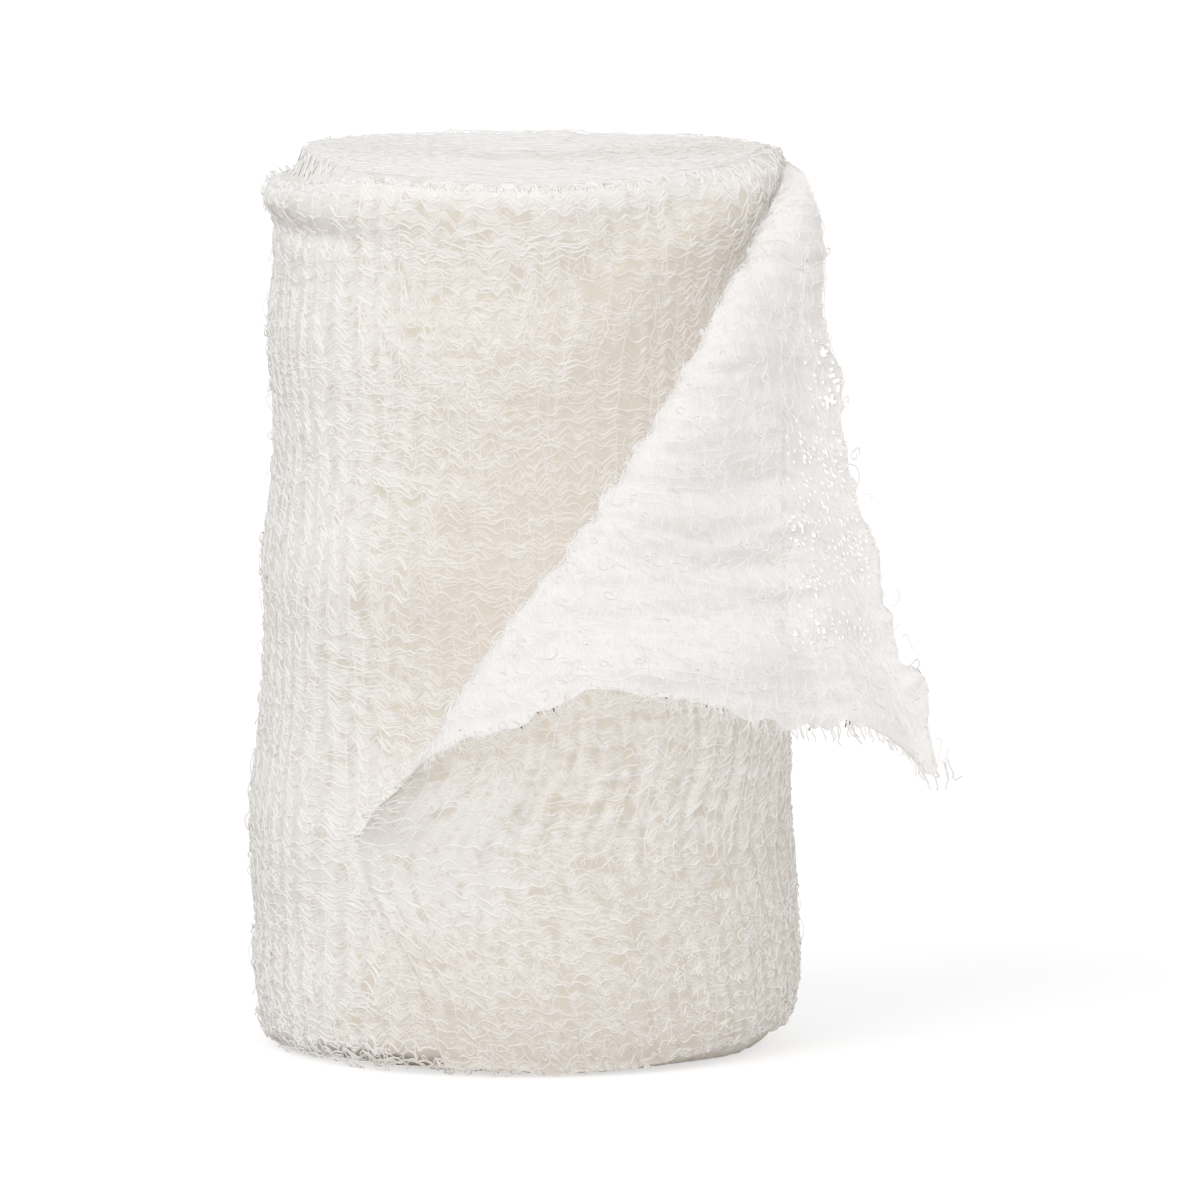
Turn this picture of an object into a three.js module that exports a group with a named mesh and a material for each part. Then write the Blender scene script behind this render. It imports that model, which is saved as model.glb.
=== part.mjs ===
// A roll of crinkled gauze bandage standing on its end, with the loose end of its outermost turn peeled
// back at the top and flopped over to the right.
// Millimetres, +Z up. The origin is the middle of the end it stands on, and the front faces -Y.
// A bearing is the angle round the roll's axis, in degrees: 0 at the front, 90 at the right, 180 at the back.
// The bandage is wound so that its outer end comes from the back, past the right side, to the front.

import * as THREE from "three";

// Driving sizes
const WIDTH = 114; // the bandage's width, which is the height of the standing roll
const PLY = 1.6; // thickness of the folded, crinkled cloth
const GAP = 0.5; // air between the roll and the turn that lies on it
const TURN_RISE = PLY + GAP; // the spiral grows by one cloth in each turn
const SEAM = 165; // bearing at the back where the roll ends and the loose turn begins
const SEAM_SLOT = 0.6; // degrees of bearing between the roll's step and the loose turn
const FOOT_ROUND = 3.4; // rounding of the roll's lower edge
const TOP_ROUND = 2.6; // rounding of its upper edge
const EYE_RADIUS = 4.5; // the dimple in the middle, where the winding starts
const EYE_DEPTH = 2.6;
const RIDGE_PITCH = 5.6; // main turns that show as soft ridges on the upper end
const RIDGE_HEIGHT = 0.55;

// The wound body's radius at the seam, by height, and how far its left side stands out over its right
const PROFILE = [
  { z: 0, radius: 31.7, lean: 0.0 },
  { z: 5, radius: 32.5, lean: 0.0 },
  { z: 10, radius: 33.0, lean: 0.1 },
  { z: 16, radius: 33.0, lean: 0.0 },
  { z: 23, radius: 33.0, lean: 0.5 },
  { z: 31, radius: 32.8, lean: 0.9 },
  { z: 37, radius: 32.4, lean: 0.6 },
  { z: 45, radius: 32.0, lean: 0.2 },
  { z: 55, radius: 31.8, lean: 0.0 },
  { z: 62, radius: 31.9, lean: 0.2 },
  { z: 70, radius: 31.1, lean: 0.0 },
  { z: 80, radius: 30.6, lean: -0.1 },
  { z: 92, radius: 31.0, lean: 0.3 },
  { z: 101, radius: 30.5, lean: 0.0 },
  { z: 107, radius: 30.9, lean: 0.2 },
  { z: 114, radius: 31.0, lean: 0.0 },
];

// Soft hollows and swellings of the side: where each is, how far it reaches and how high it stands
const DENTS = [
  { bearing: -62, z: 105.6, acrossDeg: 30, upMm: 1.5, rise: -1.2 }, // groove under the rim, left
  { bearing: -72, z: 109.3, acrossDeg: 34, upMm: 2.2, rise: 0.9 }, // puffed lip over the groove
  { bearing: 14, z: 101.0, acrossDeg: 16, upMm: 7.0, rise: -0.7 }, // thin, open place under the rim
  { bearing: -35, z: 58.0, acrossDeg: 30, upMm: 11.0, rise: 0.5 },
  { bearing: -10, z: 22.0, acrossDeg: 26, upMm: 9.0, rise: -0.4 },
  { bearing: -140, z: 78.0, acrossDeg: 34, upMm: 13.0, rise: 0.7 },
  { bearing: -165, z: 34.0, acrossDeg: 30, upMm: 12.0, rise: -0.6 },
];

// The outer turns slid down a little on the left, which leaves the inner turns standing above them. The
// slide starts at the height `fromZ`, and on the end it falls between the shares `from` and `to` of the rim.
const SLIP = { bearing: -98, acrossDeg: 44, drop: 3.6, fromZ: 63, from: 0.94, to: 0.985 };
const SIDE_SWELL = 0.9; // the upper end stands higher at its left and right than at its front and back
const SWELL_FROM_Z = 90;
const FLAT_RIM_FROM = 0.85; // share of the rim past which the soft ridges fade

// The loose turn, by height h on the bandage. Up to the bearing `leaves` it lies on the roll. Then it lifts,
// reaches the crest of its fold, turns over and hangs down to the hem, which is its cut edge. Each place is
// a bearing, a lift off the wound surface and a height.
const LOOSE_ROWS = [
  { h: 0, leaves: 4, crest: [-2, 0.2, 0.8], over: [-7, 0.3, 0.8], hem: [-17, 0.5, 0.8] },
  { h: 14, leaves: 2, crest: [-5, 0.4, 14.0], over: [-12, 0.8, 14.2], hem: [-25.8, 1.2, 14.9] },
  { h: 27, leaves: 2, crest: [-9, 1.0, 27.0], over: [-17, 1.9, 27.0], hem: [-37, 1.8, 27.4] },
  { h: 31, leaves: 3, crest: [-8, 1.4, 31.0], over: [-16, 2.4, 31.0], hem: [-33.4, 3.4, 31.2] },
  { h: 36, leaves: 4, crest: [-9, 2.2, 35.9], over: [-17, 3.6, 35.8], hem: [-27.4, 6.4, 35.3] },
  { h: 40, leaves: 5, crest: [-10.5, 3.0, 39.8], over: [-18, 5.0, 39.6], hem: [-21.6, 8.6, 38.6] },
  { h: 44, leaves: 6, crest: [-12.5, 3.8, 43.7], over: [-17.8, 6.2, 43.2], hem: [-16, 9.8, 41.7] },
  { h: 52, leaves: 9, crest: [-10.4, 4.2, 51.4], over: [-10.8, 7.2, 49.6], hem: [-6.6, 10.2, 44.6] },
  { h: 60, leaves: 15, crest: [-2.7, 3.6, 59.2], over: [-2.5, 6.6, 55.6], hem: [4.3, 10.0, 47.3] },
  { h: 66, leaves: 22, crest: [4.6, 3.4, 65.2], over: [4.9, 6.3, 61.0], hem: [10.8, 10.8, 50.4] },
  { h: 72, leaves: 29, crest: [12.0, 3.3, 71.2], over: [12.3, 6.2, 66.8], hem: [18.2, 11.3, 49.6] },
  { h: 80, leaves: 38, crest: [21.4, 3.3, 79.2], over: [21.7, 6.2, 74.6], hem: [28.7, 12.8, 48.0] },
  { h: 88, leaves: 47, crest: [30.4, 3.3, 87.2], over: [30.7, 6.2, 82.4], hem: [37.8, 14.2, 45.6] },
  { h: 96, leaves: 57, crest: [40.5, 3.2, 95.2], over: [40.8, 6.0, 90.4], hem: [48.9, 16.2, 43.7] },
  { h: 103, leaves: 69, crest: [51.2, 3.0, 102.2], over: [51.4, 5.8, 97.4], hem: [56.5, 19.5, 44.4] },
  { h: 107, leaves: 80, crest: [60, 2.7, 106.8], over: [58, 5.4, 102.8], hem: [59.8, 21.6, 42.6] },
  { h: 111, leaves: 98, crest: [76, 2.4, 111.4], over: [69, 5.0, 109.4], hem: [61.8, 22.9, 39.7] },
  { h: 114, leaves: 118, crest: [98, 1.8, 114.0], over: [83, 4.6, 114.6], hem: [63.6, 24.2, 37.4] },
];

// Creases that run nearly level across the hanging flap. Each is a dip with its middle at x and z, and it
// falls by `slope` for each millimetre to the right.
const CREASES = [
  { x: 28, z: 88, halfLength: 8, width: 1.6, depth: 0.6, slope: 0.02 },
  { x: 25, z: 75.8, halfLength: 10, width: 2.2, depth: 1.3, slope: -0.08 },
  { x: 17, z: 67.5, halfLength: 12, width: 2.0, depth: 0.8, slope: -0.12 },
  { x: 29, z: 65, halfLength: 10, width: 1.9, depth: 1.6, slope: -0.04 },
  { x: 29, z: 59.8, halfLength: 9, width: 1.8, depth: 1.4, slope: 0.06 },
  { x: 42, z: 55, halfLength: 9, width: 1.7, depth: 1.0, slope: 0.03 },
];
const PUFF = { x: 24, z: 54, halfLength: 16, width: 3.4, height: 1.2 }; // the swollen band over the hem
const CREASED_FROM = 38; // distances from the axis between which the creases fade in
const CREASED_FULLY = 42;
const FLARE_FROM = 50; // heights on the bandage between which the flap goes from straight to flaring
const FLARE_FULLY = 105;

// Fineness of the surfaces
const COLUMNS_AROUND = 72;
const SIDE_RINGS = 17;
const ROUND_RINGS = 4;
const TOP_SHARES = [1, 0.985, 0.94, 0.86, 0.77, 0.68, 0.59, 0.5, 0.4, 0.3, 0.2, 0.1]; // rings of the upper end
const FOOT_RINGS = 2;
const LOOSE_ROW_COUNT = 20;
const LOW_ROWS = [0.8, 2.0, 3.4]; // distances of the closer rows from the bandage's lower edge
const HIGH_ROWS = [7.2, 5.4, 4.0, 2.8, 1.8, 0.8]; // and from its upper edge
const WRAP_STEPS = 20;
const LEG_STEPS = [5, 5, 6, 6, 6]; // steps from leaving the roll to the crest, over it, and down to the hem
const FLAP_STEPS = LEG_STEPS.reduce((sum, count) => sum + count);
const RELAX_PASSES = 3; // rounds of evening out, which leave the folds as soft as cloth's

const radians = (degrees) => (degrees * Math.PI) / 180;
const mix = (a, b, t) => a + (b - a) * t;
const smooth = (low, high, x) => THREE.MathUtils.smoothstep(x, low, high);

// The bearing's distance from another, from -180 to 180 degrees
const bearingFrom = (bearing, other) => {
  const turn = (((bearing - other) % 360) + 540) % 360;
  return turn - 180;
};

const onCylinder = (bearing, radius, z) =>
  new THREE.Vector3(radius * Math.sin(radians(bearing)), -radius * Math.cos(radians(bearing)), z);

// A smooth curve through a table's values: `key` is the column that is passed, `pick` reads a row's value
function alongTable(table, key, at, pick) {
  let i = 0;
  while (i < table.length - 2 && at > table[i + 1][key]) {
    i += 1;
  }
  const rows = [table[Math.max(i - 1, 0)], table[i], table[i + 1], table[Math.min(i + 2, table.length - 1)]];
  const [k0, k1, k2, k3] = rows.map((row) => row[key]);
  const [v0, v1, v2, v3] = rows.map(pick);
  const span = k2 - k1;
  const t = THREE.MathUtils.clamp((at - k1) / span, 0, 1);
  const slopeIn = k2 > k0 ? (v2 - v0) / (k2 - k0) : 0;
  const slopeOut = k3 > k1 ? (v3 - v1) / (k3 - k1) : 0;
  const t2 = t * t;
  const t3 = t2 * t;
  return (
    v1 * (2 * t3 - 3 * t2 + 1) +
    v2 * (3 * t2 - 2 * t3) +
    slopeIn * span * (t3 - 2 * t2 + t) +
    slopeOut * span * (t3 - t2)
  );
}

// Radius of the wound body's side. `turned` is how far the winding has come from the seam, 0 to 1.
function sideRadius(bearing, z, turned) {
  const body = alongTable(PROFILE, "z", z, (row) => row.radius);
  const lean = alongTable(PROFILE, "z", z, (row) => row.lean);
  let radius = body + TURN_RISE * turned - lean * Math.sin(radians(bearing));
  for (const dent of DENTS) {
    const across = bearingFrom(bearing, dent.bearing) / dent.acrossDeg;
    const up = (z - dent.z) / dent.upMm;
    radius += dent.rise * Math.exp(-across * across - up * up);
  }
  return radius;
}

// Share of a turn that lies between the seam and a bearing, in the direction in which it is wound
const turnedAt = (bearing) => ((((SEAM - bearing) % 360) + 360) % 360) / 360;

// How far the rounding of both rims draws a layer in at a height, where `over` is how far the layer lies
// outside the roll's own surface
function roundedIn(z, over = 0) {
  const inward = (reach, round) => round - Math.sqrt(Math.max(0, round ** 2 - Math.max(0, reach) ** 2));
  return inward(FOOT_ROUND - z, FOOT_ROUND + over) + inward(z - (WIDTH - TOP_ROUND), TOP_ROUND + over);
}

// How far the outer turns have slid down, and how far the upper end swells up, at a bearing
const slipAt = (bearing) => SLIP.drop * Math.exp(-((bearingFrom(bearing, SLIP.bearing) / SLIP.acrossDeg) ** 4));
const swellAt = (bearing) => SIDE_SWELL * Math.sin(radians(bearing)) ** 2;

// Height of the upper end's surface, where share 1 is its rim
function topHeight(bearing, share) {
  const mean = PROFILE[PROFILE.length - 1].radius * share;
  const wound = mean + RIDGE_PITCH * turnedAt(bearing);
  const ridged = RIDGE_HEIGHT * (1 - smooth(FLAT_RIM_FROM, 1, share));
  const ridge = ridged * Math.cos((2 * Math.PI * wound) / RIDGE_PITCH);
  const eye = EYE_DEPTH * (1 - smooth(0, EYE_RADIUS, mean));
  const slipped = slipAt(bearing) * smooth(SLIP.from, SLIP.to, share);
  return WIDTH - RIDGE_HEIGHT + ridge - eye - slipped + swellAt(bearing) * share;
}

// Gathers the points and facets of one closed surface
class SolidBuilder {
  constructor() {
    this.positions = [];
    this.triangles = [];
  }

  point(p) {
    this.positions.push(p.x, p.y, p.z);
    return this.positions.length / 3 - 1;
  }

  quad(a, b, c, d) {
    this.triangles.push(a, b, c, a, c, d);
  }

  triangle(a, b, c) {
    this.triangles.push(a, b, c);
  }

  geometry() {
    const geometry = new THREE.BufferGeometry();
    geometry.setAttribute("position", new THREE.Float32BufferAttribute(this.positions, 3));
    geometry.setIndex(this.triangles);
    geometry.computeVertexNormals();
    return geometry;
  }
}

// The wound body: rings of points from the foot's middle, up the side, to the eye of the upper end
function rollGeometry() {
  const build = new SolidBuilder();
  const bearings = [];
  for (let i = 0; i < COLUMNS_AROUND; i += 1) {
    bearings.push(SEAM - (i * (360 - SEAM_SLOT)) / (COLUMNS_AROUND - 1));
  }
  const turned = bearings.map((_, i) => i / (COLUMNS_AROUND - 1));
  const ringOf = (height, radiusOf) =>
    bearings.map((bearing, i) => build.point(onCylinder(bearing, radiusOf(bearing, i), height(bearing, i))));
  const rings = [];
  const footRadius = (bearing, i) => sideRadius(bearing, 0, turned[i]) - FOOT_ROUND;
  for (let k = 1; k <= FOOT_RINGS; k += 1) {
    rings.push(ringOf(() => 0, (bearing, i) => (footRadius(bearing, i) * k) / FOOT_RINGS));
  }
  const heights = [];
  for (let k = 1; k <= ROUND_RINGS; k += 1) {
    heights.push(FOOT_ROUND * (1 - Math.cos((k * Math.PI) / 2 / ROUND_RINGS)));
  }
  for (let k = 1; k < SIDE_RINGS; k += 1) {
    heights.push(mix(FOOT_ROUND, WIDTH - TOP_ROUND, k / SIDE_RINGS));
  }
  for (let k = 0; k < ROUND_RINGS; k += 1) {
    heights.push(WIDTH - TOP_ROUND + TOP_ROUND * Math.sin((k * Math.PI) / 2 / ROUND_RINGS));
  }
  for (const z of heights) {
    const slid = (bearing) =>
      z - slipAt(bearing) * smooth(SLIP.fromZ, WIDTH, z) + swellAt(bearing) * smooth(SWELL_FROM_Z, WIDTH, z);
    rings.push(ringOf(slid, (bearing, i) => sideRadius(bearing, slid(bearing), turned[i]) - roundedIn(z)));
  }
  const rimRadius = (bearing, i) => sideRadius(bearing, WIDTH, turned[i]) - TOP_ROUND;
  for (const share of TOP_SHARES) {
    rings.push(ringOf((bearing) => topHeight(bearing, share), (bearing, i) => rimRadius(bearing, i) * share));
  }
  const last = COLUMNS_AROUND - 1;
  const next = (i) => (i === last ? 0 : i + 1);
  for (let k = 1; k < rings.length; k += 1) {
    for (let i = 0; i <= last; i += 1) {
      build.quad(rings[k - 1][next(i)], rings[k - 1][i], rings[k][i], rings[k][next(i)]);
    }
  }
  const footMiddle = build.point(new THREE.Vector3(0, 0, 0));
  const eye = build.point(new THREE.Vector3(0, 0, WIDTH - EYE_DEPTH - RIDGE_HEIGHT));
  const top = rings[rings.length - 1];
  for (let i = 0; i <= last; i += 1) {
    build.triangle(footMiddle, rings[0][i], rings[0][next(i)]);
    build.triangle(eye, top[next(i)], top[i]);
  }
  return build.geometry();
}

// Middle of the loose turn's cloth where it lies on the roll, or `lift` outside that
function wrapPoint(bearing, h, lift = 0) {
  const over = GAP + PLY / 2;
  const radius = sideRadius(bearing, h, turnedAt(bearing)) + over - roundedIn(h, over);
  return onCylinder(bearing, radius + lift, h);
}

// Moves a point out to the wound surface if it has sunk below it
function keptClear(point) {
  const bearing = (Math.atan2(point.x, -point.y) * 180) / Math.PI;
  const floor = wrapPoint(bearing, point.z);
  return Math.hypot(point.x, point.y) < Math.hypot(floor.x, floor.y) ? floor : point;
}

// How far the creases and the puffed band push the flap out at a place
function creased(point) {
  const bump = (spot, slope) => {
    const along = (point.x - spot.x) / spot.halfLength;
    const up = (point.z - spot.z + slope * (point.x - spot.x)) / spot.width;
    return Math.exp(-(along ** 4) - up * up);
  };
  let out = PUFF.height * bump(PUFF, 0);
  for (const crease of CREASES) {
    out -= crease.depth * bump(crease, crease.slope);
  }
  return out;
}

// One row along the bandage at height h: its points from the seam to the hem
function looseRow(h) {
  const along = (pick) => alongTable(LOOSE_ROWS, "h", h, pick);
  const leaves = along((row) => row.leaves);
  const stopOf = (name) => [0, 1, 2].map((i) => along((row) => row[name][i]));
  const [crest, over, hem] = [stopOf("crest"), stopOf("over"), stopOf("hem")];
  const flare = smooth(FLARE_FROM, FLARE_FULLY, h);
  const hanging = (t) => {
    const bearing = mix(over[0], hem[0], 1 - (1 - t) ** (1 + flare));
    return [bearing, mix(over[1], hem[1], t ** (1 + flare / 2)), mix(over[2], hem[2], t)];
  };
  const place = ([bearing, lift, z]) => wrapPoint(bearing, z, lift);
  const points = [];
  for (let k = 0; k < WRAP_STEPS; k += 1) {
    points.push(wrapPoint(mix(SEAM - SEAM_SLOT, leaves, k / WRAP_STEPS), h));
  }
  const stops = [crest, over, hanging(1 / 3), hanging(2 / 3), hem].map(place);
  const curve = new THREE.CatmullRomCurve3([wrapPoint(leaves, h), ...stops]);
  LEG_STEPS.forEach((count, leg) => {
    for (let k = 0; k < count; k += 1) {
      points.push(keptClear(curve.getPoint((leg + k / count) / LEG_STEPS.length)));
    }
  });
  points.push(stops[stops.length - 1]);
  return points;
}

// Evens out the part of the rows that is off the roll, and presses the creases into the flap
function relaxAndCrease(rows) {
  const last = rows.length - 1;
  const end = WRAP_STEPS + FLAP_STEPS;
  for (let pass = 0; pass < RELAX_PASSES; pass += 1) {
    const before = rows.map((row) => row.map((point) => point.clone()));
    for (let j = 0; j <= last; j += 1) {
      for (let k = WRAP_STEPS - 2; k < end; k += 1) {
        const mean = before[j][k - 1].clone().add(before[j][k + 1]).multiplyScalar(0.5);
        const point = before[j][k].clone().lerp(mean, 0.5);
        if (j > 0 && j < last) {
          const across = before[j - 1][k].clone().add(before[j + 1][k]).multiplyScalar(0.5);
          point.lerp(across, 0.25 * (1 - smooth(WRAP_STEPS, end - 6, k)));
        }
        rows[j][k] = keptClear(point);
      }
    }
  }
  for (const row of rows) {
    for (let k = WRAP_STEPS; k <= end; k += 1) {
      const point = row[k];
      const hangs = smooth(CREASED_FROM, CREASED_FULLY, Math.hypot(point.x, point.y));
      const outward = new THREE.Vector3(point.x, point.y, 0).normalize();
      point.addScaledVector(outward, hangs * creased(point));
    }
  }
}

// The loose turn: the rows' surface, thickened to both sides and closed round its edges
function looseEndGeometry() {
  const heights = LOW_ROWS.slice();
  const lowest = LOW_ROWS[LOW_ROWS.length - 1];
  for (let j = 1; j < LOOSE_ROW_COUNT; j += 1) {
    heights.push(mix(lowest, WIDTH - HIGH_ROWS[0], j / LOOSE_ROW_COUNT));
  }
  heights.push(...HIGH_ROWS.map((distance) => WIDTH - distance));
  const rows = heights.map(looseRow);
  relaxAndCrease(rows);
  const lastRow = rows.length - 1;
  const lastStep = rows[0].length - 1;
  const middle = new SolidBuilder();
  const middles = rows.map((row) => row.map((point) => middle.point(point)));
  for (let j = 0; j < lastRow; j += 1) {
    for (let k = 0; k < lastStep; k += 1) {
      middle.quad(middles[j][k + 1], middles[j][k], middles[j + 1][k], middles[j + 1][k + 1]);
    }
  }
  const normals = middle.geometry().getAttribute("normal");
  const build = new SolidBuilder();
  const face = (side) =>
    rows.map((row, j) =>
      row.map((point, k) => {
        const outward = new THREE.Vector3().fromBufferAttribute(normals, middles[j][k]);
        return build.point(point.clone().addScaledVector(outward, (side * PLY) / 2));
      }),
    );
  const outer = face(1);
  const inner = face(-1);
  for (let j = 0; j < lastRow; j += 1) {
    for (let k = 0; k < lastStep; k += 1) {
      build.quad(outer[j][k + 1], outer[j][k], outer[j + 1][k], outer[j + 1][k + 1]);
      build.quad(inner[j][k], inner[j][k + 1], inner[j + 1][k + 1], inner[j + 1][k]);
    }
    build.quad(outer[j][0], inner[j][0], inner[j + 1][0], outer[j + 1][0]);
    build.quad(inner[j][lastStep], outer[j][lastStep], outer[j + 1][lastStep], inner[j + 1][lastStep]);
  }
  for (let k = 0; k < lastStep; k += 1) {
    build.quad(outer[0][k], outer[0][k + 1], inner[0][k + 1], inner[0][k]);
    build.quad(outer[lastRow][k + 1], outer[lastRow][k], inner[lastRow][k], inner[lastRow][k + 1]);
  }
  return build.geometry();
}

const gauze = (colour) => new THREE.MeshStandardMaterial({ color: colour, roughness: 0.95, metalness: 0 });

const roll = new THREE.Mesh(rollGeometry(), gauze(0xf1ece4));
roll.name = "roll";

const looseEnd = new THREE.Mesh(looseEndGeometry(), gauze(0xf3efe9));
looseEnd.name = "loose_end";

const bandage = new THREE.Group();
bandage.add(roll, looseEnd);

export default bandage;
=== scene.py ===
# A roll of crinkled cotton gauze bandage that stands on its end, with the loose end of its outermost turn
# peeled back at the top and flopped over to the right.
# Sizes are in millimetres until a mesh is made of them. +Z is up and the front faces -Y. A bearing is the
# angle round the roll's axis in degrees: 0 at the front, 90 at the right, 180 at the back.

import math

import bpy
import numpy as np
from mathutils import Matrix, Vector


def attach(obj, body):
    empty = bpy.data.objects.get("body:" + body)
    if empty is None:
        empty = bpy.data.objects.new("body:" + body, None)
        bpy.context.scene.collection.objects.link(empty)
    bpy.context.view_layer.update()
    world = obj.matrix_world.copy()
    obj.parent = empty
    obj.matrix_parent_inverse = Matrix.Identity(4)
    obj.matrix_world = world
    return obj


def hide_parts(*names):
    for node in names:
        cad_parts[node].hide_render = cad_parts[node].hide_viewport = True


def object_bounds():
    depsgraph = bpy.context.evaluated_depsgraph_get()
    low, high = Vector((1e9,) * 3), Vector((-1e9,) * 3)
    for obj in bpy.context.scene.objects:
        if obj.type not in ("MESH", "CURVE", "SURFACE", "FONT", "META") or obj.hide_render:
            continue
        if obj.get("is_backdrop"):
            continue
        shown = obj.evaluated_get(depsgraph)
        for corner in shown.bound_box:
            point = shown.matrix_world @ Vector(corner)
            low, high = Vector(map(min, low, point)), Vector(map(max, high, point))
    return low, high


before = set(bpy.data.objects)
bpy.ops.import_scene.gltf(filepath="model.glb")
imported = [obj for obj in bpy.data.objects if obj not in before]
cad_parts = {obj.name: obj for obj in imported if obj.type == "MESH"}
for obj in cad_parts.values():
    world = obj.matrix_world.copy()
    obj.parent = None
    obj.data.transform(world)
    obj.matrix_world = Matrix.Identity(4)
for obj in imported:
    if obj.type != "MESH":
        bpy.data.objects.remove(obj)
box_at_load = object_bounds()

# The wound body: about thirty turns of six-ply crinkled cotton gauze, wound by machine on nothing but
# itself. Its side is one turn of cloth, drawn in and puffed out a little by how tightly each place is
# wound, and its ends are the selvages of all the turns, a soft spiral. This piece is the cloth's deeper
# plies, which are painted dim and tan between the yarns that lie on them, as painted shade.

WIDTH = 114.0  # the bandage's width, which is the height of the standing roll
PLY = 1.6  # thickness of the folded, crinkled cloth
GAP = 0.5  # air between the roll and the turn that lies on it
TURN_RISE = PLY + GAP
SEAM = 165.0  # bearing at the back where the loose turn begins
SEAM_SLOT = 0.6
FOOT_ROUND = 3.4
TOP_ROUND = 2.6
EYE_RADIUS = 4.5  # dimple in the middle of the upper end, where the winding starts
EYE_DEPTH = 2.6
MEAN_RADIUS = 33.0  # turns bearings into distances along the cloth

# Height, radius and lean to the left of the wound side
PROFILE = (
    (0, 31.7, 0.0), (5, 32.5, 0.0), (10, 33.0, 0.1), (16, 33.0, 0.0),
    (23, 33.0, 0.5), (31, 32.8, 0.9), (37, 32.4, 0.6), (45, 32.0, 0.2),
    (55, 31.8, 0.0), (62, 31.9, 0.2), (70, 31.1, 0.0), (80, 30.6, -0.1),
    (92, 31.0, 0.3), (101, 30.5, 0.0), (107, 30.9, 0.2), (114, 31.0, 0.0),
)  # fmt: skip

# Bearing, height, reach round, reach up and rise of each soft hollow or swelling of the side
DENTS = (
    (-62, 105.6, 30, 1.5, -1.2),
    (-72, 109.3, 34, 2.2, 0.9),
    (14, 101.0, 16, 7.0, -0.7),
    (-35, 58.0, 30, 11.0, 0.5),
    (-10, 22.0, 26, 9.0, -0.4),
    (-140, 78.0, 34, 13.0, 0.7),
    (-165, 34.0, 30, 12.0, -0.6),
)
SLIP_BEARING, SLIP_ACROSS, SLIP_DROP, SLIP_FROM_Z = -98.0, 44.0, 3.6, 63.0
SLIP_SHARES = (0.94, 0.985)  # shares of the upper end's radius between which the slipped turns drop
SIDE_SWELL, SWELL_FROM_Z = 1.35, 90.0  # how far the upper end stands higher at its left and right

# Height on the bandage, and the bearing at which the loose turn leaves the roll
LEAVES = (
    (0, 4), (14, 2), (27, 2), (31, 3), (36, 4), (40, 5), (44, 6), (52, 9), (60, 15),
    (66, 22), (72, 29), (80, 38), (88, 47), (96, 57), (103, 69), (107, 80), (111, 98), (114, 118),
)  # fmt: skip
FOLD_FILL = 2.4  # how far the loosened turns under the fold swell out near the rim

DEEPER = 0.45  # how far the deeper plies lie under the outermost yarns
CORE_COLUMNS = 264
CORE_RINGS = 84
END_RINGS = 42
CRIMP = 3.4  # length of one wave of the crinkle, along the cloth
CRIMP_DRIFT = 3.4  # radians that the waves drift to either side
RIB_HEIGHT = 0.06  # the crinkle's ribs on the deeper plies
FOOT_GAP = (-30.0, 24.0, 2.2, 2.8)  # bearing, reach, depth and height of the hollow under the foot's edge
TURN_RIDGE = 0.16  # how far each turn's selvage stands out of the upper end


def smooth(low, high, x):
    t = np.clip((np.asarray(x, float) - low) / (high - low), 0, 1)
    return t * t * (3 - 2 * t)


def mix(a, b, t):
    return a + (b - a) * t


def along_table(keys, values, at):
    """A smooth curve through a table's values."""
    keys, values = np.asarray(keys, float), np.asarray(values, float)
    last = len(keys) - 1
    i = np.clip(np.searchsorted(keys, at) - 1, 0, last - 1)
    before, after = np.maximum(i - 1, 0), np.minimum(i + 2, last)
    span = keys[i + 1] - keys[i]
    t = np.clip((at - keys[i]) / span, 0, 1)
    slope_in = (values[i + 1] - values[before]) / (keys[i + 1] - keys[before])
    slope_out = (values[after] - values[i]) / (keys[after] - keys[i])
    t2, t3 = t * t, t * t * t
    return (
        values[i] * (2 * t3 - 3 * t2 + 1)
        + values[i + 1] * (3 * t2 - 2 * t3)
        + slope_in * span * (t3 - 2 * t2 + t)
        + slope_out * span * (t3 - t2)
    )


def bearing_from(bearing, other):
    return (bearing - other + 540.0) % 360.0 - 180.0


def turned_at(bearing):
    """Share of a turn between the seam and a bearing, in the direction of winding."""
    return ((SEAM - bearing) % 360.0) / 360.0


def side_radius(bearing, z, turned):
    """Radius of the wound side, without its rounded rims, after a share of the outermost turn."""
    heights, radii, leans = zip(*PROFILE)
    radius = along_table(heights, radii, z) + TURN_RISE * turned
    radius = radius - along_table(heights, leans, z) * np.sin(np.radians(bearing))
    for place, height, across, up, rise in DENTS:
        a = bearing_from(bearing, place) / across
        u = (z - height) / up
        radius = radius + rise * np.exp(-a * a - u * u)
    return radius


def rounded_in(z, over=0.0):
    """How far the rounding of both rims draws in a layer that lies `over` outside the roll."""

    def inward(reach, rounding):
        reach = np.minimum(np.maximum(reach, 0.0), rounding)
        return rounding - np.sqrt(rounding**2 - reach**2)

    return inward(FOOT_ROUND - z, FOOT_ROUND + over) + inward(z - (WIDTH - TOP_ROUND), TOP_ROUND + over)


def slip_at(bearing):
    """How far the outer turns have slid down."""
    return SLIP_DROP * np.exp(-((bearing_from(bearing, SLIP_BEARING) / SLIP_ACROSS) ** 4))


def swell_at(bearing):
    return SIDE_SWELL * np.sin(np.radians(bearing)) ** 2


def on_cylinder(bearing, radius, z):
    b = np.radians(bearing)
    return np.stack(np.broadcast_arrays(radius * np.sin(b), -radius * np.cos(b), z), axis=-1)


def fold_fill(bearing, z):
    """How far the turns swell out near the rim, just ahead of where the loose turn leaves the roll."""
    ahead = along_table(*zip(*LEAVES), z) - bearing_from(bearing, 0)
    return FOLD_FILL * smooth(0, 24, ahead) * (1 - smooth(30, 56, ahead)) * smooth(88, 108, z)


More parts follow.
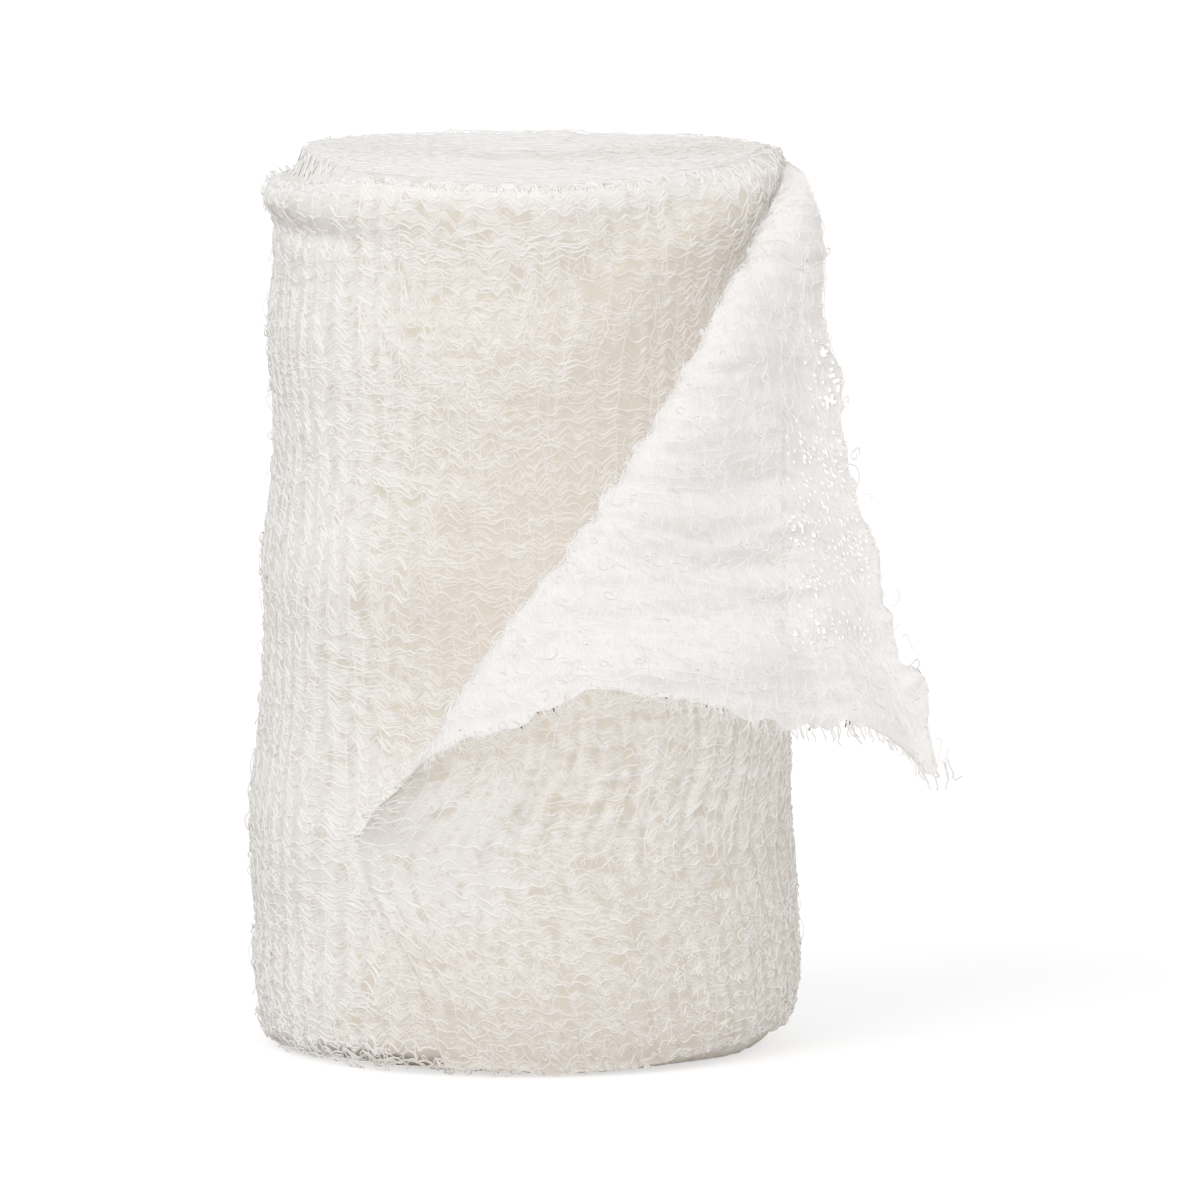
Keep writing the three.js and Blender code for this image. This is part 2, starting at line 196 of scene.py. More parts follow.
def roll_side(bearing, z, turned, lift):
    """A point of the wound side, `lift` outside its surface."""
    bearing, z, turned, lift = np.broadcast_arrays(bearing, z, turned, lift)
    slid = z - slip_at(bearing) * smooth(SLIP_FROM_Z, WIDTH, z)
    slid = slid + swell_at(bearing) * smooth(SWELL_FROM_Z, WIDTH, z)
    radius = side_radius(bearing, slid, turned) - rounded_in(z) + fold_fill(bearing, z)
    foot = np.maximum(0.0, FOOT_ROUND - z) / FOOT_ROUND
    rim = np.maximum(0.0, z - (WIDTH - TOP_ROUND)) / TOP_ROUND
    level = np.sqrt(np.maximum(0.0, 1 - (foot + rim) ** 2))
    return on_cylinder(bearing, radius + lift * level, slid + lift * (rim - foot))


def roll_end(bearing, share, lift):
    """A point of the upper end, where share 1 is its rim."""
    radius = (side_radius(bearing, WIDTH, turned_at(bearing)) - TOP_ROUND + fold_fill(bearing, WIDTH)) * share
    eye = EYE_DEPTH * (1 - smooth(0, EYE_RADIUS, radius))
    slipped = slip_at(bearing) * smooth(*SLIP_SHARES, share)
    return on_cylinder(bearing, radius, WIDTH - eye - slipped + swell_at(bearing) * share + lift)


def wander(seed, along, across):
    """A smooth random field from -1 to 1, with lumps `along` by `across` mm in size."""
    lattice = np.random.default_rng(seed).uniform(-1, 1, (257, 131))

    def at(a, b):
        u, v = np.broadcast_arrays(np.asarray(a, float) / along, np.asarray(b, float) / across)
        i, j = np.floor(u).astype(int), np.floor(v).astype(int)
        fu, fv = u - i, v - j
        fu, fv = fu * fu * (3 - 2 * fu), fv * fv * (3 - 2 * fv)
        corner = lambda x, y: lattice[(i + x) % 257, (j + y) % 131]
        return mix(mix(corner(0, 0), corner(1, 0), fu), mix(corner(0, 1), corner(1, 1), fu), fv)

    return at


crimp_phase = wander(11, 11, 17)
crimp_size = wander(12, 5.5, 4.5)
crimp_lean = wander(16, 14, 9)
puff = wander(13, 9, 5)
lumps = wander(14, 2.2, 1.3)
handled = wander(15, 13, 9)


def crimp_angle(s, h):
    """Where a place is in the crinkle's wave. Neighbouring yarns share it, so the waves stand in columns."""
    return 2 * math.pi * s / CRIMP + CRIMP_DRIFT * crimp_phase(s, h)


def crimp_swing(s, h):
    """How high the crinkle's waves are at a place."""
    return np.clip(0.45 + 0.42 * crimp_size(s, h), 0.08, 0.85)


def deep_relief(s, h):
    """How far the deeper plies rise and fall, in ribs, puffs and small lumps."""
    return RIB_HEIGHT * np.cos(crimp_angle(s, h)) + 0.14 * puff(s, h) + 0.08 * lumps(s, h)


def linear(hex_colour):
    """sRGB hex to linear RGB."""
    parts = [int(hex_colour[i : i + 2], 16) / 255 for i in (1, 3, 5)]
    return [p / 12.92 if p <= 0.04045 else ((p + 0.055) / 1.055) ** 2.4 for p in parts]


def empty_tree(owner):
    """The node tree of a new material or world, with nothing in it."""
    owner.use_nodes = True
    owner.node_tree.nodes.clear()
    return owner.node_tree


def add_node(tree, kind, settings=(), links=()):
    """Adds a node, sets its inputs or properties, and links its inputs to other nodes' outputs."""
    node = tree.nodes.new(kind)
    for key, value in dict(settings).items():
        if isinstance(key, int) or key in node.inputs:
            node.inputs[key].default_value = value
        else:
            setattr(node, key, value)
    for key, source in dict(links).items():
        tree.links.new(source, node.inputs[key])
    return node


THREAD_PITCH = 0.62  # millimetres between the yarns of the deeper plies


def painted_shade_and_light(bearing, z):
    """Painted shade near the fold and foot; painted light on the left, under the flap and on top."""
    # positive values are painted shade, negative ones painted light
    ahead = along_table(*zip(*LEAVES), z) - bearing_from(bearing, 0)
    # painted shade beside the fold, where the flap stands over the roll
    fold = np.exp(-(((ahead - 22) / 30) ** 2)) * smooth(36, 62, z)
    # painted light on the left side, which faces the key light
    painted_light_left = 1 - smooth(-58, -18, bearing_from(bearing, 0))
    # painted light in the cone under the flap, where the flap would shade it
    cone = 0.9 * np.exp(-((bearing_from(bearing, -20) / 20) ** 4) - ((z - 29) / 10) ** 4)
    # painted shade at the foot, which gets less light from above
    foot = 0.5 * (1 - smooth(3, 16, z)) * (1 - smooth(30, 60, np.abs(bearing_from(bearing, 0))))
    # the upper end is painted lighter, as light from above
    return 0.85 * fold + foot - painted_light_left - cone - 0.9 * smooth(109, 113.5, z)


def dull_cotton(tree, shade, colours, height, relief, depth):
    """Cotton's own surface, soft and nearly without gloss. `colours` are the places in the shade and the
    hex colours there, and `depth` is the height of its relief in metres."""
    ramp = add_node(tree, "ShaderNodeValToRGB", {}, {"Fac": shade})
    for stop, (position, colour) in zip(ramp.color_ramp.elements, colours):
        stop.position = position
        stop.color = (*linear(colour), 1)
    bump = add_node(tree, "ShaderNodeBump", {"Strength": relief, "Distance": depth}, {"Height": height})
    surface = add_node(
        tree,
        "ShaderNodeBsdfPrincipled",
        {"Roughness": 0.9, "IOR": 1.53, "Specular IOR Level": 0.15},
        {"Base Color": ramp.outputs["Color"], "Normal": bump.outputs["Normal"]},
    )
    add_node(tree, "ShaderNodeOutputMaterial", {}, {"Surface": surface.outputs["BSDF"]})


def cotton_plies(name, yarn, between, relief, takes_painted_shade):
    """Bleached cotton gauze, several plies deep: soft, dull and very white, with painted shade between the
    yarns, darker and more tan, for the shadows that the yarns don't cast and for light that has passed
    through much cotton. The yarns of the deeper plies are drawn along the crinkle."""
    material = bpy.data.materials.new(name)
    tree = empty_tree(material)
    cloth = add_node(tree, "ShaderNodeAttribute", {"attribute_name": "cloth_place"}).outputs["Vector"]
    part = add_node(tree, "ShaderNodeSeparateXYZ", {}, {0: cloth}).outputs
    place = add_node(tree, "ShaderNodeTexCoord").outputs["Object"]
    wobble = add_node(tree, "ShaderNodeTexNoise", {"Scale": 1 / 0.0021, "Detail": 1.0}, {"Vector": place})
    patches = add_node(tree, "ShaderNodeTexNoise", {"Scale": 1 / 0.0013, "Detail": 2.0}, {"Vector": place})
    fibres = add_node(tree, "ShaderNodeTexNoise", {"Scale": 1 / 0.0004, "Detail": 2.0}, {"Vector": place})
    # spots where the plies are painted darker and more tan, as shade in hollows of the weave
    shaded_spots = add_node(tree, "ShaderNodeTexNoise", {"Scale": 1 / 0.0024, "Detail": 1.0}, {"Vector": place})
    open_here = add_node(
        tree, "ShaderNodeMapRange", {"From Min": 0.55, "From Max": 0.68}, {"Value": shaded_spots.outputs["Fac"]}
    )
    angle = add_node(tree, "ShaderNodeMath", {"operation": "MULTIPLY", 1: 2 * math.pi}, {0: part["X"]})
    wave = add_node(tree, "ShaderNodeMath", {"operation": "COSINE"}, {0: angle.outputs[0]})
    swung = add_node(tree, "ShaderNodeMath", {"operation": "MULTIPLY"}, {0: wave.outputs[0], 1: part["Z"]})
    level = add_node(tree, "ShaderNodeMath", {"operation": "SUBTRACT"}, {0: part["Y"], 1: swung.outputs[0]})
    uneven = add_node(
        tree,
        "ShaderNodeMath",
        {"operation": "MULTIPLY_ADD", 1: 2.2},
        {0: wobble.outputs["Fac"], 2: level.outputs[0]},
    )
    turns = {"operation": "MULTIPLY", 1: 2 * math.pi / THREAD_PITCH}
    turn = add_node(tree, "ShaderNodeMath", turns, {0: uneven.outputs[0]})
    bands = add_node(tree, "ShaderNodeMath", {"operation": "SINE"}, {0: turn.outputs[0]})
    threads = add_node(
        tree,
        "ShaderNodeMath",
        {"operation": "MULTIPLY_ADD", 1: 0.13},
        {0: bands.outputs[0], 2: patches.outputs["Fac"]},
    )
    # the painted shade and light field; takes_painted_shade is 1 where a material takes it
    painted_shading = add_node(tree, "ShaderNodeAttribute", {"attribute_name": "painted_shade_and_light"}).outputs["Fac"]
    shade = add_node(
        tree,
        "ShaderNodeMath",
        {"operation": "MULTIPLY_ADD", 1: -0.3 * takes_painted_shade},
        {0: painted_shading, 2: threads.outputs[0]},
    )
    deeper = add_node(
        tree,
        "ShaderNodeMath",
        {"operation": "MULTIPLY_ADD", 1: -0.4 * takes_painted_shade},
        {0: open_here.outputs["Result"], 2: shade.outputs[0]},
    )
    height = add_node(
        tree,
        "ShaderNodeMath",
        {"operation": "MULTIPLY_ADD", 1: 0.3},
        {0: fibres.outputs["Fac"], 2: threads.outputs[0]},
    )
    # the first colour is painted shade: darker and more tan between the yarns
    colours = ((0.25, between), (0.75, yarn))
    dull_cotton(tree, deeper.outputs[0], colours, height.outputs[0], relief, 0.0002)
    return material


# d2c4b1 is the painted shade between the yarns, and this material takes the painted shade and light field
deep_plies = cotton_plies("cotton_gauze_deeper_plies", "#f0ebe5", "#d2c4b1", 0.25, 1)


def make_piece(name, points, faces, material, cloth_place=None, facing=None):
    """A mesh piece from points in millimetres. `cloth_place` tells the material where each point lies on the
    cloth: its place in the crinkle, in whole waves, its height on the bandage and the wave's height.
    `facing` is the direction in which each point is lit, where that isn't the mesh's own."""
    mesh = bpy.data.meshes.new(name)
    points = np.asarray(points, float).reshape(-1, 3) * 0.001
    faces = [np.asarray(group, int) for group in faces if len(group)]
    corners = np.concatenate([group.ravel() for group in faces])
    sizes = np.concatenate([np.full(len(group), group.shape[1]) for group in faces])
    mesh.vertices.add(len(points))
    mesh.vertices.foreach_set("co", points.ravel())
    mesh.loops.add(len(corners))
    mesh.loops.foreach_set("vertex_index", corners)
    mesh.polygons.add(len(sizes))
    mesh.polygons.foreach_set("loop_start", np.concatenate([[0], np.cumsum(sizes)[:-1]]))
    mesh.polygons.foreach_set("loop_total", sizes)
    mesh.polygons.foreach_set("use_smooth", np.ones(len(sizes), bool))
    mesh.update(calc_edges=True)
    mesh.validate()
    mesh.materials.append(material)
    if cloth_place is not None:
        on_points = mesh.attributes.new("cloth_place", "FLOAT_VECTOR", "POINT")
        on_points.data.foreach_set("vector", np.asarray(cloth_place, float).ravel())
    # every piece carries the painted shade and light field, which the cotton materials read
    bearing = np.degrees(np.arctan2(points[:, 0], -points[:, 1]))
    on_points = mesh.attributes.new("painted_shade_and_light", "FLOAT", "POINT")
    on_points.data.foreach_set("value", painted_shade_and_light(bearing, points[:, 2] * 1000))
    if facing is not None:
        mesh.normals_split_custom_set_from_vertices(facing.tolist())
    piece = bpy.data.objects.new(name, mesh)
    bpy.context.scene.collection.objects.link(piece)
    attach(piece, "root")
    return piece


def foot_gap(bearing, z):
    """How far the deeper plies draw back at the foot, where the lowest selvages stand off the table."""
    place, reach, depth, height = FOOT_GAP
    ragged = 0.75 + 0.5 * wander(17, 3.5, 1)(np.radians(bearing) * MEAN_RADIUS, 0)
    near = np.exp(-((bearing_from(bearing, place) / reach) ** 4))
    return depth * ragged * near * (1 - smooth(0.8, height, z))


def wound_core():
    """Rings of points from the foot's middle, up the side, to the eye of the upper end."""
    bearing = SEAM - np.arange(CORE_COLUMNS) * (360 - SEAM_SLOT) / (CORE_COLUMNS - 1)
    turned = np.arange(CORE_COLUMNS) / (CORE_COLUMNS - 1)
    s = np.radians(bearing) * MEAN_RADIUS
    rings, places = [], []
    foot = side_radius(bearing, 0.0, turned) - FOOT_ROUND
    for share in (0.25, 0.5, 0.75, 0.92):
        rings.append(on_cylinder(bearing, foot * share, 0.12))
        places.append((s * share / CRIMP, foot * share, 0.3))
    near_foot, near_rim = [0.0, 0.3, 0.9, 1.8], WIDTH - np.array([0.9, 0.3])
    for z in np.concatenate([near_foot, np.linspace(2.8, WIDTH - 1.8, CORE_RINGS), near_rim]):
        inset = -DEEPER + deep_relief(s, z) - foot_gap(bearing, z)
        rings.append(roll_side(bearing, z, turned, inset + 0.12 * (z < 0.5)))
        places.append((crimp_angle(s, z) / (2 * math.pi), z, crimp_swing(s, z)))
    for share in np.linspace(1, 0.06, END_RINGS) ** 0.8:
        radius = (side_radius(bearing, WIDTH, turned) - TOP_ROUND) * share
        wound = (radius + TURN_RISE * (1 - turned)) / TURN_RISE
        ridge = TURN_RIDGE * np.cos(2 * math.pi * wound) * smooth(0.05, 0.3, share)
        rings.append(roll_end(bearing, share, -DEEPER + ridge + 0.25 * puff(s * share, radius * 1.7 + 60)))
        wave = crimp_angle(s, WIDTH) / (2 * math.pi)
        places.append((wave, WIDTH + wound * TURN_RISE, crimp_swing(s, WIDTH)))
    points = np.array(rings)
    places = np.array([np.stack(np.broadcast_arrays(*place, bearing)[:3], axis=-1) for place in places])
    count, columns = points.shape[:2]
    index = np.arange(count * columns).reshape(count, columns)
    right = np.roll(index, -1, axis=1)
    quads = np.stack([right[:-1], index[:-1], index[1:], right[1:]], axis=-1).reshape(-1, 4)
    middle, eye = count * columns, count * columns + 1
    bottom = np.stack([np.full(columns, middle), index[0], right[0]], axis=-1)
    top = np.stack([np.full(columns, eye), right[-1], index[-1]], axis=-1)
    points = np.concatenate([points.reshape(-1, 3), [[0, 0, 0.12], [0, 0, WIDTH - EYE_DEPTH - DEEPER]]])
    places = np.concatenate([places.reshape(-1, 3), np.zeros((2, 3))])
    return points, [quads, bottom, top], deep_plies, places


roll_core = make_piece("roll_deeper_plies", *wound_core())
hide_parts("roll")

# The roll's outer yarns: loosely spun cotton, a quarter of a millimetre thick, woven very open. The warp
# runs round the roll and has drawn itself up into a crinkle of small waves. The weft stands upright and is
# nearly straight. They are bleached, so they catch the light as near white lines over the dimmer plies.

YARN_RADIUS = 0.12
YARN_CORNERS = (90, 197, 343)  # degrees round a yarn's section: a low roof, flat where it lies on the cloth
YARN_SOFTNESS = 1.0  # how much a yarn is lit as the cloth that it lies on, and not as a hard wire
UPPER_ROWS, LOWER_ROWS = 104, 84  # warp yarns across the bandage, in the two layers that show
CURL = 2.6  # length of one curl of a slack yarn
FRONT = (-88.0, 66.0)  # bearings between which the yarns' points stand closest
FRONT_STEP, BACK_STEP = 0.72, 1.4  # degrees between a warp yarn's points, at the front and elsewhere
UNDER_LOOSE = 10.0  # degrees that the yarns run on beneath the loose turn
THIN_PLACE = (22.0, 99.0, 19.0, 14.0)  # bearing, height and reach of the place where the weave lies open


def unit(vectors):
    return vectors / (np.linalg.norm(vectors, axis=-1, keepdims=True) + 1e-12)


def yarn_net(name, points, normals, radius, keep=None, softness=YARN_SOFTNESS):
    """Yarns as three-sided tubes. Each row of points is one yarn, and it breaks where `keep` is false."""
    rows, steps = points.shape[:2]
    keep = np.ones((rows, steps), bool) if keep is None else keep
    tangent = unit(np.gradient(points, axis=1))
    beside = unit(np.cross(tangent, normals))
    outward = np.cross(beside, tangent)
    radius = np.broadcast_to(radius, (rows, steps))[..., None]
    corners, facing = [], []
    for angle in np.radians(YARN_CORNERS):
        way = math.cos(angle) * beside + math.sin(angle) * outward
        corners.append(points + radius * way)
        facing.append(way + softness * outward)
    ring, facing = np.stack(corners, axis=2).reshape(-1, 3), unit(np.stack(facing, axis=2)).reshape(-1, 3)
    index = np.arange(rows * steps * 3).reshape(rows, steps, 3)
    joined = keep[:, :-1] & keep[:, 1:]
    here, there = index[:, :-1][joined], index[:, 1:][joined]
    nexts = (1, 2, 0)
    sides = [
        np.stack([here[:, k], there[:, k], there[:, nexts[k]], here[:, nexts[k]]], axis=-1)
        for k in range(3)
    ]
    before = np.pad(joined, ((0, 0), (1, 0)))
    after = np.pad(joined, ((0, 0), (0, 1)))
    caps = [index[after & ~before], index[before & ~after][:, ::-1]]
    quads, triangles = np.concatenate(sides), np.concatenate(caps)
    used, fresh = np.unique(np.concatenate([quads.ravel(), triangles.ravel()]), return_inverse=True)
    faces = [fresh[: quads.size].reshape(-1, 4), fresh[quads.size :].reshape(-1, 3)]
    yarn = white_yarn if name.startswith("flap") else cream_yarn
    piece = make_piece(name, ring[used], faces, yarn, facing=facing[used])
    # a single yarn passes most of the light that meets it, so it throws no shadow of its own
    piece.visible_shadow = False
    return piece


def chart_normals(place, bearing, z):
    """Directions out of the wound side."""
    d = 0.2
    across = place(bearing + d, z) - place(bearing - d, z)
    up = place(bearing, np.minimum(z + d, WIDTH)) - place(bearing, np.maximum(z - d, 0))
    out = np.cross(across, up)
    return out / (np.linalg.norm(out, axis=-1, keepdims=True) + 1e-12)


def openness(bearing, z):
    """How thin the weave is at a place, 0 to 1."""
    place, height, across, up = THIN_PLACE
    return np.exp(-((bearing_from(bearing, place) / across) ** 2) - ((z - height) / up) ** 2)


def side_place(lift):
    """The wound side as a function of bearing and height, `lift` outside its surface."""
    return lambda bearing, z: roll_side(bearing, z, (SEAM - bearing) / 360, lift)


def tangled(s, h):
    """How tangled the yarns are at a place, 0 to 1: most at the foot, where the roll has been handled."""
    return np.clip(0.34 + 0.4 * (1 - smooth(8, 26, h)) + 0.45 * handled(s, h), 0.05, 1)


def warp_waves(s, h, row, seed, size, tangle):
    """How far a warp yarn is moved along itself and across, and how far it rises out of the cloth."""
    angle = crimp_angle(s, h) + 1.5 * wander(seed + 7, 5.0, 2.2)(s, h)
    lean = np.clip(crimp_lean(s, h) + 0.4, -1, 1)
    across = size * crimp_swing(s, h) * (np.cos(angle) + 0.38 * lean * np.cos(2 * angle))
    across = across + 0.46 * wander(seed, 1.7, 1.2)(s, h) + 0.5 * wander(seed + 1, 5.0, 2.4)(s, h)
    across = across + 0.3 * wander(seed + 6, 1.5, 1)(s, row) + 0.25 * wander(seed + 9, 4.0, 1)(s, row)
    curl = 2 * math.pi * s / CURL + 5 * wander(seed + 8, 3.2, 1)(s, row)
    rise = 0.07 * np.cos(angle) + 0.13 * wander(seed + 2, 2.6, 1)(s, row)
    return 0.42 * tangle * np.sin(curl), across + 0.42 * tangle * np.cos(curl), rise


def bundled(draw, low, high, rows):
    """Heights of yarns that lie in ones, twos and threes."""
    gaps = np.where(draw.uniform(0, 1, rows) < 0.45, 0.42, 1.3) * draw.uniform(0.8, 1.2, rows)
    heights = np.cumsum(gaps)
    return (low + (high - low) * (heights - gaps[0] / 2) / heights[-1])[:, None]


def roll_warp(name, rows, seed, lift, size, radius, thinned):
    """One layer of warp yarns round the roll. `thinned` is how many of them break in the open place."""
    draw = np.random.default_rng(seed)
    row = np.arange(rows)[:, None]
    h = bundled(draw, 0.2, WIDTH - 0.2, rows)
    low, high = FRONT
    stations = np.concatenate(
        [
            np.arange(130, high, -BACK_STEP),
            np.arange(high, low, -FRONT_STEP),
            np.arange(low, SEAM - 362, -BACK_STEP),
        ]
    )
    bearing = stations[None, :] + np.zeros((rows, 1))
    end = SEAM - 360 + draw.uniform(-1.5, 1.5, (rows, 1))
    s = np.radians(bearing) * MEAN_RADIUS
    open_here = openness(bearing, h)
    along, across, rise = warp_waves(s, h, row, seed, size, tangled(s, h))
    z = h + across * (1 - 0.4 * open_here) + 0.9 * wander(seed + 3, 24, 14)(s, h)
    z = np.clip(z, 0.35, WIDTH - 0.2)
    keep = (bearing < along_table(*zip(*LEAVES), h) + UNDER_LOOSE) & (bearing > end)
    keep &= wander(seed + 4, 7, 1)(s, row) > thinned * open_here * 1.7 - 1
    bearing = bearing + np.degrees(along / MEAN_RADIUS)
    place = side_place(lift)
    normals = chart_normals(place, bearing, z)
    thick = radius * (1 + 0.25 * wander(seed + 5, 6, 1)(s, row))
    yarn_net(name, place(bearing, z) + rise[..., None] * normals, normals, thick, keep)


def cotton_yarn(name, dim, bright, takes_painted_shade):
    """Bleached cotton yarn: dull and nearly white, with the fibres of its twist just showing."""
    material = bpy.data.materials.new(name)
    tree = empty_tree(material)
    place = add_node(tree, "ShaderNodeTexCoord").outputs["Object"]
    patches = add_node(tree, "ShaderNodeTexNoise", {"Scale": 1 / 0.0025, "Detail": 2.0}, {"Vector": place})
    fibres = add_node(tree, "ShaderNodeTexNoise", {"Scale": 1 / 0.0002, "Detail": 1.0}, {"Vector": place})
    # painted shade near the fold and foot and painted light on the left, under the flap and on top
    painted_shading = add_node(tree, "ShaderNodeAttribute", {"attribute_name": "painted_shade_and_light"}).outputs["Fac"]
    shade = add_node(
        tree,
        "ShaderNodeMath",
        {"operation": "MULTIPLY_ADD", 1: -0.3 * takes_painted_shade},
        {0: painted_shading, 2: patches.outputs["Fac"]},
    )
    colours = ((0.2, dim), (0.8, bright))
    dull_cotton(tree, shade.outputs[0], colours, fibres.outputs["Fac"], 0.2, 0.00005)
    return material


# the crinkled yarns take the painted shade and light field; the flap's flat-lying yarns don't
cream_yarn = cotton_yarn("crinkled_cotton_yarn", "#e3dace", "#f7f4f0", 1)
white_yarn = cotton_yarn("flat_lying_cotton_yarn", "#f6f2ef", "#fcfaf8", 0)
roll_warp("roll_warp_yarns", UPPER_ROWS, 101, -0.12, 1.0, YARN_RADIUS * 1.15, 0.45)
roll_warp("roll_lower_warp_yarns", LOWER_ROWS, 201, -0.3, 1.1, YARN_RADIUS * 0.9, 0.8)


def wave_crest(wave, h):
    """How far along the cloth a wave has its crest. The weft runs up the crests and troughs."""
    s = wave * CRIMP
    for _ in range(4):
        s = wave * CRIMP - CRIMP * CRIMP_DRIFT / (2 * math.pi) * crimp_phase(s, h)
    return s


def roll_weft():
    """Upright yarns on the crests of the waves, and fewer in their troughs."""
    draw = np.random.default_rng(301)
    first, last = (int(math.radians(b) * MEAN_RADIUS / CRIMP) for b in (SEAM - 358, 126))
    wave = np.arange(first, last, 0.5)[:, None]
    row = np.arange(len(wave))[:, None]
    z = np.linspace(0.4, WIDTH - 0.3, 130)[None, :] + np.zeros((len(wave), 1))
    s = wave_crest(wave + draw.uniform(-0.08, 0.08, wave.shape), z)
    slack = 1 + 2.0 * openness(np.degrees(s / MEAN_RADIUS), z)
    s = s + slack * (0.3 * wander(302, 1, 5)(row, z) + 0.3 * wander(303, 1, 1.8)(row, z))
    bearing = np.degrees(s / MEAN_RADIUS)
    place = side_place(-0.24)
    normals = chart_normals(place, bearing, z)
    points = place(bearing, z) + (0.14 * wander(305, 1, 1.6)(row, z))[..., None] * normals
    on_crest = wave % 1 == 0
    keep = (bearing < along_table(*zip(*LEAVES), z) + UNDER_LOOSE) & (bearing > SEAM - 359)
    keep &= wander(306, 1, 6)(row, z) > np.where(on_crest, -0.5, 0.0)
    radius = YARN_RADIUS * np.where(on_crest, 0.9, 0.75)
    yarn_net("roll_weft_yarns", points, normals, radius, keep)


roll_weft()


def end_spiral():
    """The selvages of the turns on the upper end: yarns that follow the winding, in loops."""
    draw = np.random.default_rng(401)
    strands, pace = 5, 0.75
    rim, inner = 31.0 - TOP_ROUND, 2.0
    steps = int(math.pi * (rim + inner) * (rim - inner) / TURN_RISE / pace)
    row = np.arange(strands)[:, None]
    # equal steps along the spiral: the radius grows as the root of the distance
    radius = inner + (rim - inner) * np.linspace(0.03, 1, steps)[None, :] ** 0.5
    bearing = SEAM - 360 * radius / TURN_RISE
    run = pace * np.arange(steps)[None, :]
    radius = radius + (row / strands - 0.5) * 2.0 + 0.25 * draw.uniform(-1, 1, (strands, 1))
    wave = 0.45 * np.sin(2 * math.pi * run / 2.9 + 4.0 * wander(402, 9, 1)(run, row))
    share = np.clip((radius + wave + 0.8 * wander(403, 2.0, 1)(run, row)) / rim, 0.02, 1.06)
    ridge = TURN_RIDGE * np.cos(2 * math.pi * radius / TURN_RISE)
    points = roll_end(bearing, share, 0.3 - DEEPER + ridge + 0.2 * wander(404, 2.6, 1)(run, row))
    up = np.zeros_like(points)
    up[..., 2] = 1
    yarn_net("roll_end_yarns", points, up, YARN_RADIUS * 0.9)


end_spiral()

# The loose turn: the same cloth, from the seam at the back round the right side to its cut end. Along its
# upper half it has been peeled off the roll, turned over and flopped down, so the flap shows its inner
# side. The cloth is folded in six plies, limp, and thin enough near its selvage to see through.

# Height on the bandage, then the stops of the crest, the turned-over edge and the hem. A stop is a bearing,
# a lift off the wound surface and a height.
LOOSE_ROWS = (
    (0, (-2, 0.2, 0.8), (-7, 0.3, 0.8), (-17, 0.5, 0.8)),
    (14, (-5, 0.4, 14.0), (-12, 0.8, 14.2), (-25.8, 1.2, 14.9)),
    (27, (-9, 1.0, 27.0), (-17, 1.9, 27.0), (-37, 1.8, 27.4)),
    (31, (-8, 1.4, 31.0), (-16, 2.4, 31.0), (-33.4, 3.4, 31.2)),
    (36, (-9, 2.2, 35.9), (-17, 3.6, 35.8), (-27.4, 6.4, 35.3)),
    (40, (-10.5, 3.0, 39.8), (-18, 5.0, 39.6), (-21.6, 8.6, 38.6)),
    (44, (-12.5, 3.8, 43.7), (-17.8, 6.2, 43.2), (-16, 9.8, 41.7)),
    (52, (-10.4, 4.2, 51.4), (-10.8, 7.2, 49.6), (-6.6, 10.2, 44.6)),
    (60, (-2.7, 3.6, 59.2), (-2.5, 6.6, 55.6), (4.3, 10.0, 47.3)),
    (66, (4.6, 3.4, 65.2), (4.9, 6.3, 61.0), (10.8, 10.8, 50.4)),
    (72, (12.0, 3.3, 71.2), (12.3, 6.2, 66.8), (18.2, 11.3, 49.6)),
    (80, (21.4, 3.3, 79.2), (21.7, 6.2, 74.6), (28.7, 12.8, 48.0)),
    (88, (30.4, 3.3, 87.2), (30.7, 6.2, 82.4), (37.8, 14.2, 45.6)),
    (96, (40.5, 3.2, 95.2), (40.8, 6.0, 90.4), (48.9, 16.2, 43.7)),
    (103, (51.2, 3.0, 102.2), (51.4, 5.8, 97.4), (56.5, 20.0, 43.6)),
    (107, (60, 2.7, 107.2), (58, 5.4, 103.4), (60.0, 22.6, 40.4)),
    (111, (74, 2.2, 112.2), (66, 5.8, 110.4), (62.2, 25.2, 36.9)),
    (114, (94, 1.6, 115.0), (78, 6.6, 115.5), (64.0, 28.0, 40.4)),
)

# Creases that run nearly level across the flap: x, z, half length, width, depth and fall to the right
CREASES = (
    (28, 88, 8, 1.6, 0.6, 0.02),
    (25, 75.8, 10, 2.2, 1.3, -0.08),
    (17, 67.5, 12, 2.0, 0.8, -0.12),
    (29, 65, 10, 1.9, 1.6, -0.04),
    (29, 59.8, 9, 1.8, 1.4, 0.06),
    (42, 55, 9, 1.7, 1.0, 0.03),
    (24, 54, 16, 3.4, -1.2, 0),  # the swollen band over the hem, which stands out
)
CREASED_FROM, CREASED_FULLY = 38.0, 42.0
LOW_EDGE_LIFT = 2.4  # how far the lower selvage has crept up at the right
FLARE_FROM, FLARE_FULLY = 50.0, 105.0
LOOSE_HEIGHTS = np.concatenate(
    [[0.8, 2.0], np.linspace(3.4, WIDTH - 7.2, 21)[:-1], WIDTH - np.array([7.2, 5.4, 4.0, 2.8, 1.8, 0.8])]
)
LOOSE_LOW, LOOSE_HIGH = LOOSE_HEIGHTS[0], LOOSE_HEIGHTS[-1]
WRAP_STEPS = 20
LEG_STEPS = (5, 5, 6, 6, 6)
RELAX_PASSES = 3
FINE_ACROSS = 229  # points of the fine surface across the bandage
FINE_ALONG = 300  # and along it
SHEET_THICK = 0.5  # of the plies that lie between the yarns of the two sides
